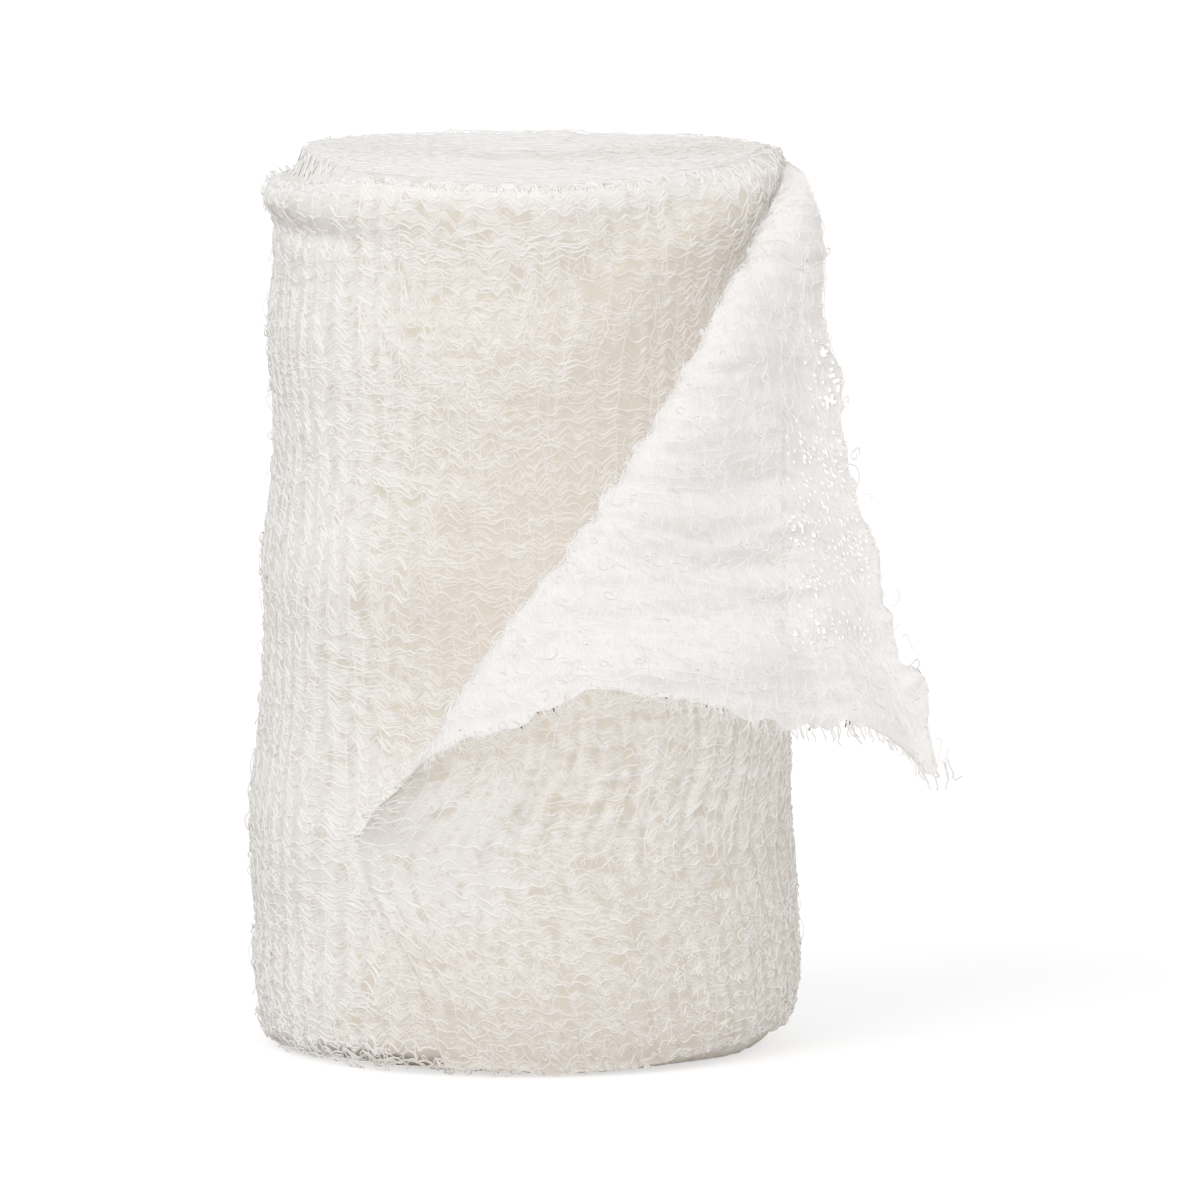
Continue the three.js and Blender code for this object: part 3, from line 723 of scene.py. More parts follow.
# Ends of the stretches of the sheet's mesh, and the cells' size in each: fine where the holes are
SHEET_ACROSS = ((0.8, 1.35), (94.5, 0.3), (113.2, 0))
SHEET_ALONG = ((0.0, 1.2), (0.46, 0.36), (0.94, 0.7), (1.0, 0))

# Places where the flap's open weave lets the background shine through: x, z, reach along x, reach along z
WORN_PLACES = (
    (37.0, 62.8, 6.2, 2.2), (36.4, 69.4, 5.6, 2.4), (38.5, 57.4, 6.0, 2.4), (35.0, 77.5, 3.0, 5.0),
    (39.0, 75.5, 3.6, 5.5), (41.5, 66.0, 4.0, 6.0), (37.6, 100.0, 2.2, 10.0), (38.8, 88.0, 2.6, 7.0),
)  # fmt: skip
BESIDE_ROLL = (32.6, 33.8)  # x where the flap leaves the roll's outline, and where it is well clear of it


def wrap_point(bearing, h, lift=0.0):
    """Middle of the loose cloth where it lies on the roll, or `lift` outside that."""
    over = GAP + PLY / 2
    radius = side_radius(bearing, h, turned_at(bearing)) + over - rounded_in(h, over) + lift
    return on_cylinder(bearing, radius, h)


def kept_clear(points):
    """Moves points out to the wound surface where they have sunk below it."""
    bearing = np.degrees(np.arctan2(points[..., 0], -points[..., 1]))
    floor = wrap_point(bearing, points[..., 2])
    sunk = np.hypot(points[..., 0], points[..., 1]) < np.hypot(floor[..., 0], floor[..., 1])
    return np.where(sunk[..., None], floor, points)


def through(stops, t):
    """A curve through stops, evenly paced, that swings round each one softly (centripetal Catmull-Rom)."""
    stops = np.asarray(stops)
    stops = np.concatenate([[2 * stops[0] - stops[1]], stops, [2 * stops[-1] - stops[-2]]])
    leg = min(int(t), len(stops) - 4)
    p = stops[leg : leg + 4]
    gaps = np.maximum(np.linalg.norm(np.diff(p, axis=0), axis=1) ** 0.5, 1e-4)
    k0, k1, k2 = gaps
    w = t - leg
    out = ((p[1] - p[0]) / k0 - (p[2] - p[0]) / (k0 + k1) + (p[2] - p[1]) / k1) * k1
    into = ((p[2] - p[1]) / k1 - (p[3] - p[1]) / (k1 + k2) + (p[3] - p[2]) / k2) * k1
    a = 2 * p[1] - 2 * p[2] + out + into
    b = -3 * p[1] + 3 * p[2] - 2 * out - into
    return a * w**3 + b * w**2 + out * w + p[1]


def loose_row(h):
    """One row along the bandage at height h, from the seam to the hem."""
    keys = [row[0] for row in LOOSE_ROWS]
    leaves = float(along_table(*zip(*LEAVES), h))
    crest, over, hem = (
        [float(along_table(keys, [row[stop][i] for row in LOOSE_ROWS], h)) for i in range(3)]
        for stop in (1, 2, 3)
    )
    flare = float(smooth(FLARE_FROM, FLARE_FULLY, h))
    points = [wrap_point(mix(SEAM - SEAM_SLOT, leaves, k / WRAP_STEPS), h) for k in range(WRAP_STEPS)]

    def hanging(t):
        return (
            mix(over[0], hem[0], 1 - (1 - t) ** (1 + flare)),
            mix(over[1], hem[1], t ** (1 + flare / 2)),
            mix(over[2], hem[2], t),
        )

    stops = [wrap_point(leaves, h)]
    stops += [wrap_point(b, z, lift) for b, lift, z in (crest, over, hanging(1 / 3), hanging(2 / 3), hem)]
    for leg, count in enumerate(LEG_STEPS):
        points += [kept_clear(through(stops, leg + k / count)) for k in range(count)]
    return points + [stops[-1]]


def loose_surface():
    """The loose turn's middle surface as the rows' points, evened out and creased."""
    rows = np.array([loose_row(h) for h in LOOSE_HEIGHTS])
    end = rows.shape[1] - 1
    for _ in range(RELAX_PASSES):
        before = rows.copy()
        inner = slice(WRAP_STEPS - 2, end)
        mean = (before[:, WRAP_STEPS - 3 : end - 1] + before[:, WRAP_STEPS - 1 : end + 1]) / 2
        moved = mix(before[:, inner], mean, 0.5)
        across = (before[:-2, inner] + before[2:, inner]) / 2
        share = 0.25 * (1 - smooth(WRAP_STEPS, end - 6, np.arange(WRAP_STEPS - 2, end)))[None, :, None]
        moved[1:-1] = mix(moved[1:-1], across, share)
        rows[:, inner] = kept_clear(moved)
    loose = rows[:, WRAP_STEPS:]
    reach = np.hypot(loose[..., 0], loose[..., 1])
    push = np.zeros(reach.shape)
    for x, z, half_length, width, depth, slope in CREASES:
        along = (loose[..., 0] - x) / half_length
        up = (loose[..., 2] - z + slope * (loose[..., 0] - x)) / width
        push -= depth * np.exp(-(along**4) - up * up)
    push *= smooth(CREASED_FROM, CREASED_FULLY, reach) / reach
    loose[..., 0] += push * loose[..., 0]
    loose[..., 1] += push * loose[..., 1]
    # at the right the lower selvage has crept up off the table
    bearing = np.degrees(np.arctan2(rows[..., 0], -rows[..., 1]))
    crept = smooth(4, 66, bearing) * (1 - smooth(110, 150, bearing))
    rows[..., 2] += LOW_EDGE_LIFT * crept * (1 - smooth(0, 9, LOOSE_HEIGHTS))[:, None]
    return rows


def finely(rows):
    """The rows as a fine grid: even heights on the bandage, and even shares of each row's length."""
    # each row is resampled by its length first, so that the cross threads stay square to it
    even = []
    smoothly = np.linspace(0, rows.shape[1] - 1, (rows.shape[1] - 1) * 12 + 1)
    for row in rows:
        dense = [along_table(np.arange(rows.shape[1]), row[:, i], smoothly) for i in range(3)]
        dense = np.stack(dense, axis=-1)
        run = np.concatenate([[0], np.cumsum(np.linalg.norm(np.diff(dense, axis=0), axis=1))])
        even.append([np.interp(np.linspace(0, run[-1], FINE_ALONG), run, dense[:, i]) for i in range(3)])
    even = np.moveaxis(np.array(even), 1, -1)
    heights = np.linspace(LOOSE_LOW, LOOSE_HIGH, FINE_ACROSS)
    fine = np.empty((FINE_ACROSS, FINE_ALONG, 3))
    for k in range(FINE_ALONG):
        for i in range(3):
            fine[:, k, i] = along_table(LOOSE_HEIGHTS, even[:, k, i], heights)
    return fine


loose_fine = finely(loose_surface())
LOOSE_LENGTH = float(np.mean(np.linalg.norm(np.diff(loose_fine, axis=1), axis=-1).sum(axis=1)))


def fine_normals(grid):
    """Directions across a fine grid's surface, evened out a little."""
    out = np.cross(np.gradient(grid, axis=1), np.gradient(grid, axis=0))
    out /= np.linalg.norm(out, axis=-1, keepdims=True) + 1e-12
    for _ in range(6):
        around = out[:-2, 1:-1] + out[2:, 1:-1] + out[1:-1, :-2] + out[1:-1, 2:]
        out[1:-1, 1:-1] = (around + out[1:-1, 1:-1]) / 5
    return out / (np.linalg.norm(out, axis=-1, keepdims=True) + 1e-12)


loose_out = -fine_normals(loose_fine)


def on_loose(grid, h, d):
    """A value of a fine grid at the height h on the bandage and the distance d from the seam."""
    u = np.clip((h - LOOSE_LOW) / (LOOSE_HIGH - LOOSE_LOW) * (FINE_ACROSS - 1), 0, FINE_ACROSS - 1.001)
    v = np.clip(d / LOOSE_LENGTH * (FINE_ALONG - 1), 0, FINE_ALONG - 1.001)
    i, j = u.astype(int), v.astype(int)
    fu, fv = (u - i)[..., None], (v - j)[..., None]
    return mix(mix(grid[i, j], grid[i + 1, j], fu), mix(grid[i, j + 1], grid[i + 1, j + 1], fu), fv)


worn_streaks = wander(501, 1.7, 0.9)


def worn(h, d):
    """How nearly the flap's cloth is worn through at a place, 0 to 1."""
    at = on_loose(loose_fine, h, d)
    x, z = at[..., 0], at[..., 2]
    most = 0
    for place, height, across, up in WORN_PLACES:
        most = np.maximum(most, np.exp(-(((x - place) / across) ** 2) - ((z - height) / up) ** 2))
    beside = smooth(0.5 * LOOSE_LENGTH, 0.6 * LOOSE_LENGTH, d) * smooth(*BESIDE_ROLL, x) * smooth(90, 94, h)
    return np.clip(most * beside * (0.8 + 0.5 * worn_streaks(d, h)), 0, 1)


pleats = wander(504, 1.5, 9)
short_pleats = wander(509, 0.9, 4)


def loose_relief(h, d):
    """Small pleats across the loose cloth, and the crinkle's ribs."""
    s = np.radians(SEAM) * MEAN_RADIUS - d
    pressed = 0.45 * smooth(LOOSE_LENGTH - 4, LOOSE_LENGTH, d) * (1 - smooth(30, 44, h))
    return 0.06 * np.cos(crimp_angle(s, h)) + 0.26 * pleats(d, h) + 0.12 * short_pleats(d, h) - pressed


def stretches(table, scale):
    """Stations through the stretches of a table, each with its own cell size."""
    stations = []
    for (start, cell), (end, _) in zip(table[:-1], table[1:]):
        count = max(1, round((end - start) * scale / cell))
        stations.append(np.linspace(start * scale, end * scale, count, endpoint=False))
    return np.concatenate([*stations, [table[-1][0] * scale]])


scallops, small_scallops = wander(510, 4.5, 1), wander(508, 1.7, 1)


def drawn_in(h, d):
    """The height h on the bandage where the upper selvage has been drawn in, in uneven scallops."""
    depth = 0.6 + 0.35 * small_scallops(d, 0) + 0.7 * scallops(d, 0)
    return h - depth * smooth(LOOSE_HIGH - 5, LOOSE_HIGH, h)


def loose_sheet():
    """The loose turn's plies: the number of faces on its outer side, and what make_piece takes."""
    across, along = stretches(SHEET_ACROSS, 1.0), stretches(SHEET_ALONG, LOOSE_LENGTH)
    h, d = np.meshgrid(across, along, indexing="ij")
    rows, columns = h.shape
    # the hem and the upper selvage are ragged
    frayed = 0.9 + 0.6 * wander(506, 1, 2.2)(0, h) + 0.4 * wander(507, 1, 0.9)(0, h)
    d = d - frayed * smooth(LOOSE_LENGTH - 7, LOOSE_LENGTH, d)
    h = drawn_in(h, d)
    middle, out = on_loose(loose_fine, h, d), on_loose(loose_out, h, d)
    middle = middle + loose_relief(h, d)[..., None] * out
    # the cloth thins towards a hole
    thinned = np.maximum(smooth(0.0, 0.06, worn(h, d)), 0.85 * smooth(LOOSE_LENGTH - 4, LOOSE_LENGTH, d))
    half = (SHEET_THICK / 2 * (1 - 0.96 * thinned))[..., None]
    sides = np.stack([middle + half * out, middle - half * out])
    s = np.radians(SEAM) * MEAN_RADIUS - d
    place = np.stack([crimp_angle(s, h) / (2 * math.pi), h, crimp_swing(s, h)], axis=-1)
    places = np.stack([place, place * (1, 1, 0.4)])
    index = np.arange(2 * rows * columns).reshape(2, rows, columns)
    centre = lambda grid: (grid[:-1, :-1] + grid[1:, 1:]) / 2
    holed = 0.24 * smooth(0.08, 1.0, worn(centre(h), centre(d)))
    whole = np.random.default_rng(505).uniform(0, 1, (rows - 1, columns - 1)) > holed
    # two holes that meet at a corner would leave an edge with four walls, so one cell between them is filled
    for _ in range(3):
        a, b, c, e = whole[:-1, :-1], whole[:-1, 1:], whole[1:, :-1], whole[1:, 1:]
        b[a & e & ~b & ~c] = True
        a[b & c & ~a & ~e] = True
    cell = lambda side, up, on: index[side, up : up + rows - 1, on : on + columns - 1]
    outer = np.stack([cell(0, 0, 1), cell(0, 0, 0), cell(0, 1, 0), cell(0, 1, 1)], axis=-1)[whole]
    inner = np.stack([cell(1, 0, 0), cell(1, 0, 1), cell(1, 1, 1), cell(1, 1, 0)], axis=-1)[whole]
    # walls stand wherever a whole cell meets a missing one or the cloth's edge
    padded = np.pad(whole, 1)
    walls = []
    left, right = ((0, -1), (0, 0), (1, 0)), ((0, 1), (1, 1), (0, 1))
    below, above = ((-1, 0), (0, 1), (0, 0)), ((1, 0), (1, 0), (1, 1))
    for (up, on), (u0, v0), (u1, v1) in (left, right, below, above):
        bare = whole & ~padded[1 + up : rows + up, 1 + on : columns + on]
        wall = np.stack([cell(0, u0, v0), cell(0, u1, v1), cell(1, u1, v1), cell(1, u0, v0)], axis=-1)
        walls.append(wall[bare])
    quads = np.concatenate([outer, inner, *walls])
    used, fresh = np.unique(quads.ravel(), return_inverse=True)
    points, places = (grid.reshape(-1, 3)[used] for grid in (sides, places))
    return len(outer), (points, [fresh.reshape(-1, 4)], deep_plies, places)


# its outer side is as crinkled as the roll's and takes the same painted shade and light, and its inner side
# has lain flat and is whiter, with only faint painted shade between its yarns
flat_plies = cotton_plies("cotton_gauze_inner_side", "#f5f1ee", "#e6e0db", 0.25, 0)
outer_faces, shape = loose_sheet()
sheet = make_piece("loose_turn_plies", *shape)
sheet.data.materials.append(flat_plies)
face = np.arange(len(sheet.data.polygons))
sheet.data.polygons.foreach_set("material_index", (face >= outer_faces).astype(int))
# the walls round the holes are flat, so that the cloth's two sides keep their own shading
sheet.data.polygons.foreach_set("use_smooth", face < 2 * outer_faces)
sheet.visible_diffuse = False  # thin as it is, the room's light passes through it to the roll
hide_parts("loose_end")

# The loose turn's yarns: the same warp and weft. On the flap the viewer sees the cloth's inner side, whose
# yarns lie flatter and closer than the crinkled outside.


def calm(h, d):
    """How smooth the outer side lies: the cone under the flap has been pulled straight."""
    return smooth(24, 33, h) * smooth(0.6 * LOOSE_LENGTH, 0.78 * LOOSE_LENGTH, d)


def loose_warp(name, rows, steps, seed, side, first, size, tangle, radius, low=LOOSE_LOW):
    """Warp yarns of the loose turn, on its outer side (1) or inner side (-1), from the share `first` on.
    `steps` are the distances between a yarn's points, behind the roll and on the rest."""
    draw = np.random.default_rng(seed)
    row = np.arange(rows)[:, None]
    h = bundled(draw, low, LOOSE_HIGH, rows)
    behind, rest = steps
    start, shown = first * LOOSE_LENGTH, max(first, 0.36) * LOOSE_LENGTH
    stations = np.concatenate([np.arange(start, shown, behind), np.arange(shown, LOOSE_LENGTH, rest)])
    d = stations[None, :] + np.zeros((rows, 1))
    s = np.radians(SEAM) * MEAN_RADIUS - d
    still = calm(h, d) if side > 0 else 0
    tangle = np.maximum(tangle, tangled(s, h))
    along, across, rise = warp_waves(s, h, row, seed, size * (1 - 0.8 * still), tangle)
    h = np.clip(h + across + 0.6 * wander(seed + 3, 24, 14)(s, h), LOOSE_LOW, LOOSE_HIGH)
    h = drawn_in(h, d)
    keep = (d < LOOSE_LENGTH - draw.uniform(0.4, 1.6, (rows, 1))) & (worn(h, d) < (0.7 if side < 0 else 0.02))
    d = np.clip(d - along, 0, LOOSE_LENGTH)
    out = on_loose(loose_out, h, d)
    lift = side * (SHEET_THICK / 2 + 0.12 - 0.16 * still) + loose_relief(h, d)
    lift = lift + rise * side * (1 - 0.7 * still)
    points = on_loose(loose_fine, h, d) + lift[..., None] * out
    thick = radius * (1 + 0.25 * wander(seed + 5, 6, 1)(s, row))
    return yarn_net(name, points, side * out, thick, keep)


def loose_weft(name, halves, step, seed, side, first, radius, low=LOOSE_LOW):
    """Upright yarns of the loose turn, one for each share `halves` of a wave."""
    draw = np.random.default_rng(seed)
    start = math.radians(SEAM) * MEAN_RADIUS
    lowest = math.ceil((start - LOOSE_LENGTH) / CRIMP)
    wave = np.arange(lowest, (start - first * LOOSE_LENGTH) / CRIMP, halves)[:, None]
    row = np.arange(len(wave))[:, None]
    h = np.arange(low, LOOSE_HIGH, step)[None, :] + np.zeros((len(wave), 1))
    d = start - wave_crest(wave + draw.uniform(-0.08, 0.08, wave.shape), h)
    d = d + 0.3 * wander(seed + 1, 1, 5)(row, h) + 0.42 * wander(seed + 2, 1, 1.5)(row, h)
    keep = (wander(seed + 5, 1, 5)(row, h) > -0.15) & (worn(h, d) < (0.6 if side < 0 else 0.02))
    keep &= (d > first * LOOSE_LENGTH) & (d < LOOSE_LENGTH - 0.6)
    d = np.clip(d, 0, LOOSE_LENGTH)
    h = drawn_in(h, d)
    out = on_loose(loose_out, h, d)
    lift = side * (SHEET_THICK / 2 + 0.06) + loose_relief(h, d) + 0.1 * wander(seed + 4, 1, 1.6)(row, h)
    points = on_loose(loose_fine, h, d) + lift[..., None] * out
    return yarn_net(name, points, side * out, radius, keep)


FLAP_FROM = 0.42  # share of the loose turn's length where its inner side begins to show
FLAP_LOW = 30.0
on_cloth = [
    loose_warp("loose_warp_yarns", 92, (0.85, 0.5), 601, 1, 0.0, 1.0, 0.3, YARN_RADIUS),
    loose_weft("loose_weft_yarns", 0.5, 0.9, 621, 1, 0.0, YARN_RADIUS * 0.8),
    loose_warp(
        "flap_warp_yarns", 72, (0.5, 0.5), 641, -1, FLAP_FROM, 0.45, 0.9, YARN_RADIUS * 0.75, FLAP_LOW
    ),
    loose_weft("flap_weft_yarns", 1 / 3, 0.62, 661, -1, FLAP_FROM, YARN_RADIUS * 0.68, FLAP_LOW),
]

# Loose yarns: the cut hem frays into yarn ends, the selvages stand out in small loops of weft, and curls of
# yarn and short fibres stray from the cloth everywhere. They make the roll's outline soft.

STRAY_RADIUS = 0.055
LOOSE_SOFTNESS = 0.15  # a yarn that stands off the cloth is lit by its own shape
OUTSIDE_SHOWS = 42.0  # below this height on the bandage its outer side faces the viewer at the hem


def frayed_hem():
    """Yarn ends along the cut edge, each with its own curl, longest at the tip of the flap."""
    draw = np.random.default_rng(701)
    count, steps = 190, 12
    row = np.arange(count)[:, None]
    h = LOOSE_LOW + (LOOSE_HIGH - LOOSE_LOW) * draw.uniform(0, 1, (count, 1)) ** 0.8
    edge = np.full((count, 1), LOOSE_LENGTH)
    end = on_loose(loose_fine, h, edge)
    away = unit(end - on_loose(loose_fine, h, edge - 3))
    beside = unit(on_loose(loose_fine, h + 1, edge) - on_loose(loose_fine, h - 1, edge))
    out = on_loose(loose_out, h, edge) * np.where(h < OUTSIDE_SHOWS, 1, -1)[..., None]
    longest = 0.1 + draw.uniform(0, 0.6, (count, 1)) + 1.2 * draw.uniform(0, 1, (count, 1)) ** 6
    longest = longest * (1 + 1.6 * smooth(106, 112, h))
    run = np.linspace(-1.6, 1, steps)[None, :]
    run = np.where(run > 0, run * longest, run)
    loose = np.maximum(run, 0)
    aside = 1.1 * wander(702, 1.1, 1)(run, row) * loose + 0.3 * wander(703, 0.8, 1)(run, row)
    off = 0.4 * wander(704, 1.6, 1)(run, row) * loose + draw.uniform(-0.1, 0.35, (count, 1))
    points = end + run[..., None] * away + aside[..., None] * beside + off[..., None] * out
    points[..., 2] = np.maximum(points[..., 2], 0.3)
    out = out + np.zeros_like(points)
    radius = YARN_RADIUS * 0.8
    return yarn_net("loose_hem_yarns", points, out, radius, softness=LOOSE_SOFTNESS)


def loops(edge_at, out_at, front, length, count, seed, reach):
    """Points of loops of yarn along an edge. `edge_at` gives the edge's points by distance along it,
    `out_at` the way out of the cloth's edge and `front` the way that its face looks."""
    draw = np.random.default_rng(seed)
    row = np.arange(count)[:, None]
    turn = np.linspace(-0.25, math.pi + 0.25, 9)[None, :]
    start = (row + draw.uniform(-0.5, 0.5, (count, 1))) * length / count
    wide = draw.uniform(0.4, 1.3, (count, 1))
    tall = reach * draw.uniform(0.25, 1.0, (count, 1)) ** 1.6
    along = start + wide * (1 - np.cos(turn)) / 2 + 0.15 * wander(seed + 1, 0.8, 1)(turn, row)
    along = np.clip(along, 0, length)
    up = tall * np.sin(turn) - 0.35 + 0.1 * wander(seed + 2, 0.7, 1)(turn, row)
    aside = draw.uniform(-0.1, 0.4, (count, 1)) + 0.2 * wander(seed + 3, 1.1, 1)(turn, row)
    face = front(along)
    points = edge_at(along) + up[..., None] * out_at(along) + aside[..., None] * face
    points[..., 2] = np.maximum(points[..., 2], 0.25)
    return points, face


def selvage_loops():
    """Loops of weft along both selvages of the loose turn."""
    groups = []
    upper, lower = (LOOSE_HIGH, LOOSE_HIGH - 4, 711, 0.5), (LOOSE_LOW, LOOSE_LOW + 2, 721, 0.3)
    for edge, inner, seed, reach in (upper, lower):
        edge_at = lambda d: on_loose(loose_fine, drawn_in(np.full(d.shape, edge), d), d)
        out_at = lambda d: unit(edge_at(d) - on_loose(loose_fine, np.full(d.shape, inner), d))
        inside = np.sign(inner - edge)
        front = lambda d: inside * on_loose(loose_out, np.full(d.shape, edge), d)
        groups.append(loops(edge_at, out_at, front, LOOSE_LENGTH, 190, seed, reach))
    points, face = (np.concatenate(part) for part in zip(*groups))
    radius = YARN_RADIUS * 0.65
    return yarn_net("loose_selvage_loops", points, face, radius, softness=LOOSE_SOFTNESS)


def rim_loops():
    """The same loops along the roll's own two edges, as far as it shows."""
    first, last = -192.0, 30.0
    length = math.radians(last - first) * MEAN_RADIUS
    bearing_at = lambda a: first + np.degrees(a / MEAN_RADIUS)
    groups = []
    for z, rising, seed, reach in ((WIDTH - 1.0, 1.0, 731, 1.2), (1.0, -0.3, 741, 0.4)):
        edge_at = lambda a: roll_side(bearing_at(a), z, (SEAM - bearing_at(a)) / 360, 0.0)
        out_at = lambda a: unit(on_cylinder(bearing_at(a), 1.0, np.full(a.shape, rising)))
        front = lambda a: unit(on_cylinder(bearing_at(a), 0.5, np.full(a.shape, rising)))
        groups.append(loops(edge_at, out_at, front, length, 220, seed, reach))
    points, face = (np.concatenate(part) for part in zip(*groups))
    yarn_net("roll_selvage_loops", points, face, YARN_RADIUS * 0.7, softness=LOOSE_SOFTNESS)


def strays(name, place, out_at, spans, fibres, curls, seed, longest=4.5):
    """Short fibres and curls of yarn that start and end in the cloth. `spans` are the ranges of the two
    coordinates of a place, and `out_at` gives the way out of the cloth."""
    draw = np.random.default_rng(seed)
    count, steps = fibres + curls, 11
    t = np.linspace(0, 1, steps)[None, :]
    row = np.arange(count)[:, None]
    curl = row >= fibres
    (a0, a1), (b0, b1) = spans
    bend = np.where(curl, draw.uniform(3.5, 7.0, (count, 1)) * draw.choice([-1, 1], (count, 1)), 1.2)
    heading = draw.uniform(-0.8, 0.8, (count, 1)) + bend * t + 1.4 * wander(seed + 1, 0.4, 1)(t, row)
    run = np.where(curl, draw.uniform(2.0, longest, (count, 1)), draw.uniform(2.5, 6.0, (count, 1)))
    stride = run / steps
    a = draw.uniform(a0, a1, (count, 1)) + np.cumsum(np.cos(heading) * stride, axis=1)
    b = draw.uniform(b0, b1, (count, 1)) + np.cumsum(np.sin(heading) * stride, axis=1)
    a, b = np.clip(a, a0, a1), np.clip(b, b0, b1)
    out = out_at(a, b)
    tallest = np.where(curl, draw.uniform(0.1, 0.45, (count, 1)), draw.uniform(0.15, 0.8, (count, 1)))
    lift = tallest * np.sin(math.pi * t) + 0.1 * wander(seed + 2, 0.3, 1)(t, row)
    points = place(a, b) + lift[..., None] * out
    points[..., 2] = np.maximum(points[..., 2], 0.2)
    radius = np.where(curl, YARN_RADIUS * 0.9, STRAY_RADIUS)
    return yarn_net(name, points, out, radius, softness=LOOSE_SOFTNESS)


rim_loops()
on_roll = side_place(0.0)
roll_at = lambda a, z: on_roll(np.degrees(a / MEAN_RADIUS), z)
out_of_roll = lambda a, z: chart_normals(on_roll, np.degrees(a / MEAN_RADIUS), z)
strays("roll_stray_yarns", roll_at, out_of_roll, ((-112.0, 10.0), (0.5, 113.5)), 320, 300, 751)
strays("roll_foot_curls", roll_at, out_of_roll, ((-60.0, 4.0), (0.5, 16.0)), 60, 170, 755)
strays("roll_slack_yarns", roll_at, out_of_roll, ((5.0, 25.0), (86.0, 111.0)), 0, 60, 757, 9.0)
on_cloth += [frayed_hem(), selvage_loops()]
outer_at = lambda d, h: on_loose(loose_fine, h, d) + 0.35 * on_loose(loose_out, h, d)
inner_at = lambda d, h: on_loose(loose_fine, h, d) - 0.35 * on_loose(loose_out, h, d)
out_of_outer = lambda d, h: on_loose(loose_out, h, d)
out_of_inner = lambda d, h: -on_loose(loose_out, h, d)
shown = ((0.38 * LOOSE_LENGTH, LOOSE_LENGTH), (LOOSE_LOW, 46.0))
by_foot = (shown[0], (LOOSE_LOW, 19.0))
fold = ((0.4 * LOOSE_LENGTH, 0.5 * LOOSE_LENGTH), (48.0, 112.0))
flap = ((0.42 * LOOSE_LENGTH, LOOSE_LENGTH), (FLAP_LOW, LOOSE_HIGH))
on_cloth += [
    strays("loose_stray_yarns", outer_at, out_of_outer, shown, 120, 260, 761),
    strays("loose_foot_curls", outer_at, out_of_outer, by_foot, 20, 230, 765),
    strays("flap_fold_curls", inner_at, out_of_inner, fold, 60, 180, 781),
    strays("flap_stray_yarns", inner_at, out_of_inner, flap, 160, 420, 771),
]

# Studio: a white table that runs on into a white background, a large soft light from the upper left and
# another from the front, low and a little to the right, and a long lens from a little above.

CAMERA_RISE = 7.35  # degrees above level
LOOKS_AT = (9.7, 0.0, 57.0)
FRAME_WIDE = 153.3  # millimetres across the picture at the roll's axis
DISTANCE = 3000.0
SENSOR = 36.0
TABLE_BOUNCE = "#877a6b"  # what the table throws back at the roll
TABLE_LIFT = 0.42  # extra brightness of the table where the camera sees it
SKY_LEVEL, SKY_TOP = 0.5, 0.46  # brightness of the room at the horizon and overhead


def white_table():
    """Seen directly, the table is pure white, as a retouched background is. What it throws back at the
    roll is weaker, which leaves the roll's foot a little darker."""
    material = bpy.data.materials.new("white_table")
    tree = empty_tree(material)
    seen = add_node(tree, "ShaderNodeLightPath").outputs["Is Camera Ray"]
    lit = add_node(tree, "ShaderNodeBsdfDiffuse", {"Color": (1, 1, 1, 1)})
    lifted = add_node(tree, "ShaderNodeEmission", {"Strength": TABLE_LIFT}).outputs["Emission"]
    bright = add_node(tree, "ShaderNodeAddShader", {}, {0: lit.outputs["BSDF"], 1: lifted})
    dim = add_node(tree, "ShaderNodeBsdfDiffuse", {"Color": (*linear(TABLE_BOUNCE), 1)})
    shown = {0: seen, 1: dim.outputs["BSDF"], 2: bright.outputs["Shader"]}
    both = add_node(tree, "ShaderNodeMixShader", {}, shown)
    add_node(tree, "ShaderNodeOutputMaterial", {}, {"Surface": both.outputs["Shader"]})
    return material


def table_top():
    reach = 0.55
    mesh = bpy.data.meshes.new("table_top")
    corners = [(-reach, -reach, 0), (reach, -reach, 0), (reach, reach, 0), (-reach, reach, 0)]
    mesh.from_pydata(corners, [], [(0, 1, 2, 3)])
    mesh.materials.append(white_table())
    table = bpy.data.objects.new("table_top", mesh)
    bpy.context.scene.collection.objects.link(table)
    table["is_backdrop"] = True


def soft_light(name, place, towards, wide, tall, power, colour):
    """A softbox that faces a point, in metres."""
    lamp = bpy.data.lights.new(name, "AREA")
    lamp.shape = "RECTANGLE"
    lamp.size, lamp.size_y, lamp.energy, lamp.color = wide, tall, power, colour
    light = bpy.data.objects.new(name, lamp)
    light.location = place
    facing = np.array(towards) - np.array(place)
    tilt = math.acos(-facing[2] / np.linalg.norm(facing))
    light.rotation_euler = (tilt, 0.0, math.atan2(-facing[0], facing[1]))
    bpy.context.scene.collection.objects.link(light)
    return light


table_top()


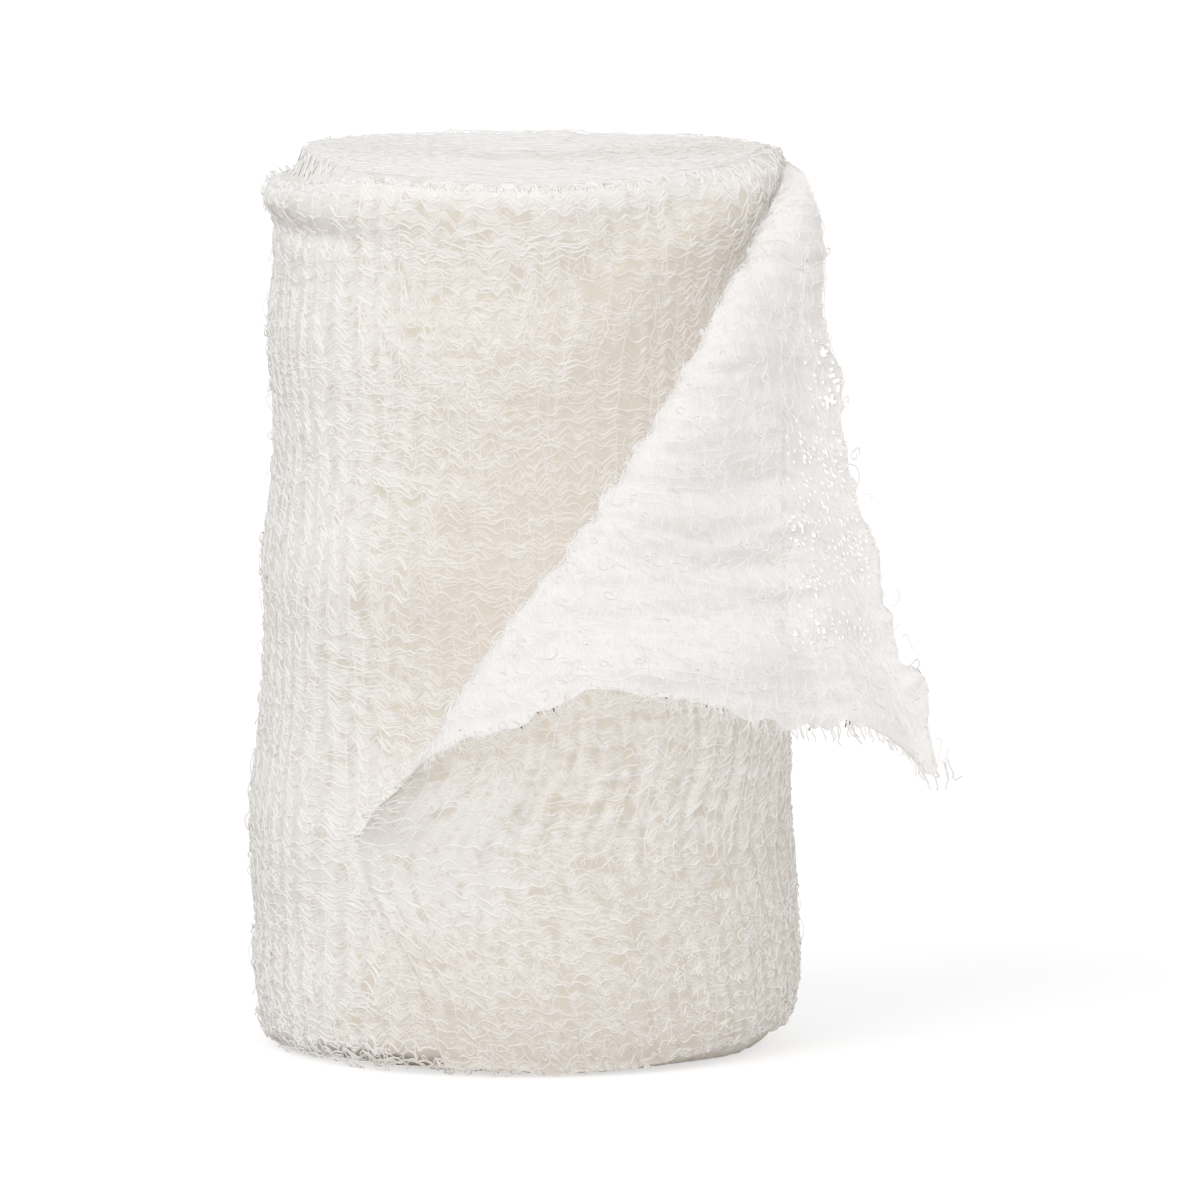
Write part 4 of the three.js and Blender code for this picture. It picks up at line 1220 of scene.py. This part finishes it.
def white_room():
    """A plain, evenly bright room, which the camera sees as pure white."""
    world = bpy.data.worlds.new("white_room")
    tree = empty_tree(world)
    way = add_node(tree, "ShaderNodeTexCoord").outputs["Generated"]
    height = add_node(tree, "ShaderNodeSeparateXYZ", {}, {0: way}).outputs["Z"]
    ends = {"From Min": 0.0, "From Max": 1.0, "To Min": SKY_LEVEL, "To Max": SKY_TOP}
    level = add_node(tree, "ShaderNodeMapRange", ends, {"Value": height}).outputs["Result"]
    room = add_node(tree, "ShaderNodeBackground", {"Color": (1, 1, 1, 1)}, {"Strength": level})
    backdrop = add_node(tree, "ShaderNodeBackground", {"Color": (1, 1, 1, 1), "Strength": 1.1})
    seen = add_node(tree, "ShaderNodeLightPath").outputs["Is Camera Ray"]
    shown = {0: seen, 1: room.outputs["Background"], 2: backdrop.outputs["Background"]}
    both = add_node(tree, "ShaderNodeMixShader", {}, shown)
    add_node(tree, "ShaderNodeOutputWorld", {}, {"Surface": both.outputs["Shader"]})
    bpy.context.scene.world = world


white_room()
bpy.context.scene.view_settings.view_transform = "Standard"
key = soft_light("key_softbox", (-1.0, -1.0, 1.4), (0, 0, 0.06), 1.2, 1.2, 13.5, (1, 1, 1))
front = soft_light("front_softbox", (0.6, -2.2, 0.4), (0, 0, 0.06), 1.2, 1.0, 18.5, (1, 1, 1))
# the light shines through the thin loose turn, so only the roll itself stands in its way
blockers = bpy.data.collections.new("what_stops_the_light")
blockers.objects.link(roll_core)
for light in (key, front):
    light.light_linking.blocker_collection = blockers
bpy.context.scene.view_settings.gamma = 1.9  # a film's soft shoulder: high-key whites with little contrast

lens = bpy.data.cameras.new("long_lens")
lens.sensor_width = SENSOR
lens.lens = SENSOR * DISTANCE / FRAME_WIDE
lens.clip_start, lens.clip_end = 0.1, 60.0
camera = bpy.data.objects.new("camera", lens)
rise = math.radians(CAMERA_RISE)
camera.location = (
    LOOKS_AT[0] / 1000,
    (LOOKS_AT[1] - DISTANCE * math.cos(rise)) / 1000,
    (LOOKS_AT[2] + DISTANCE * math.sin(rise)) / 1000,
)
camera.rotation_euler = (math.pi / 2 - rise, 0, 0)
bpy.context.scene.collection.objects.link(camera)
bpy.context.scene.camera = camera

box_at_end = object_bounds()
[[list(corner) for corner in box] for box in (box_at_load, box_at_end)]
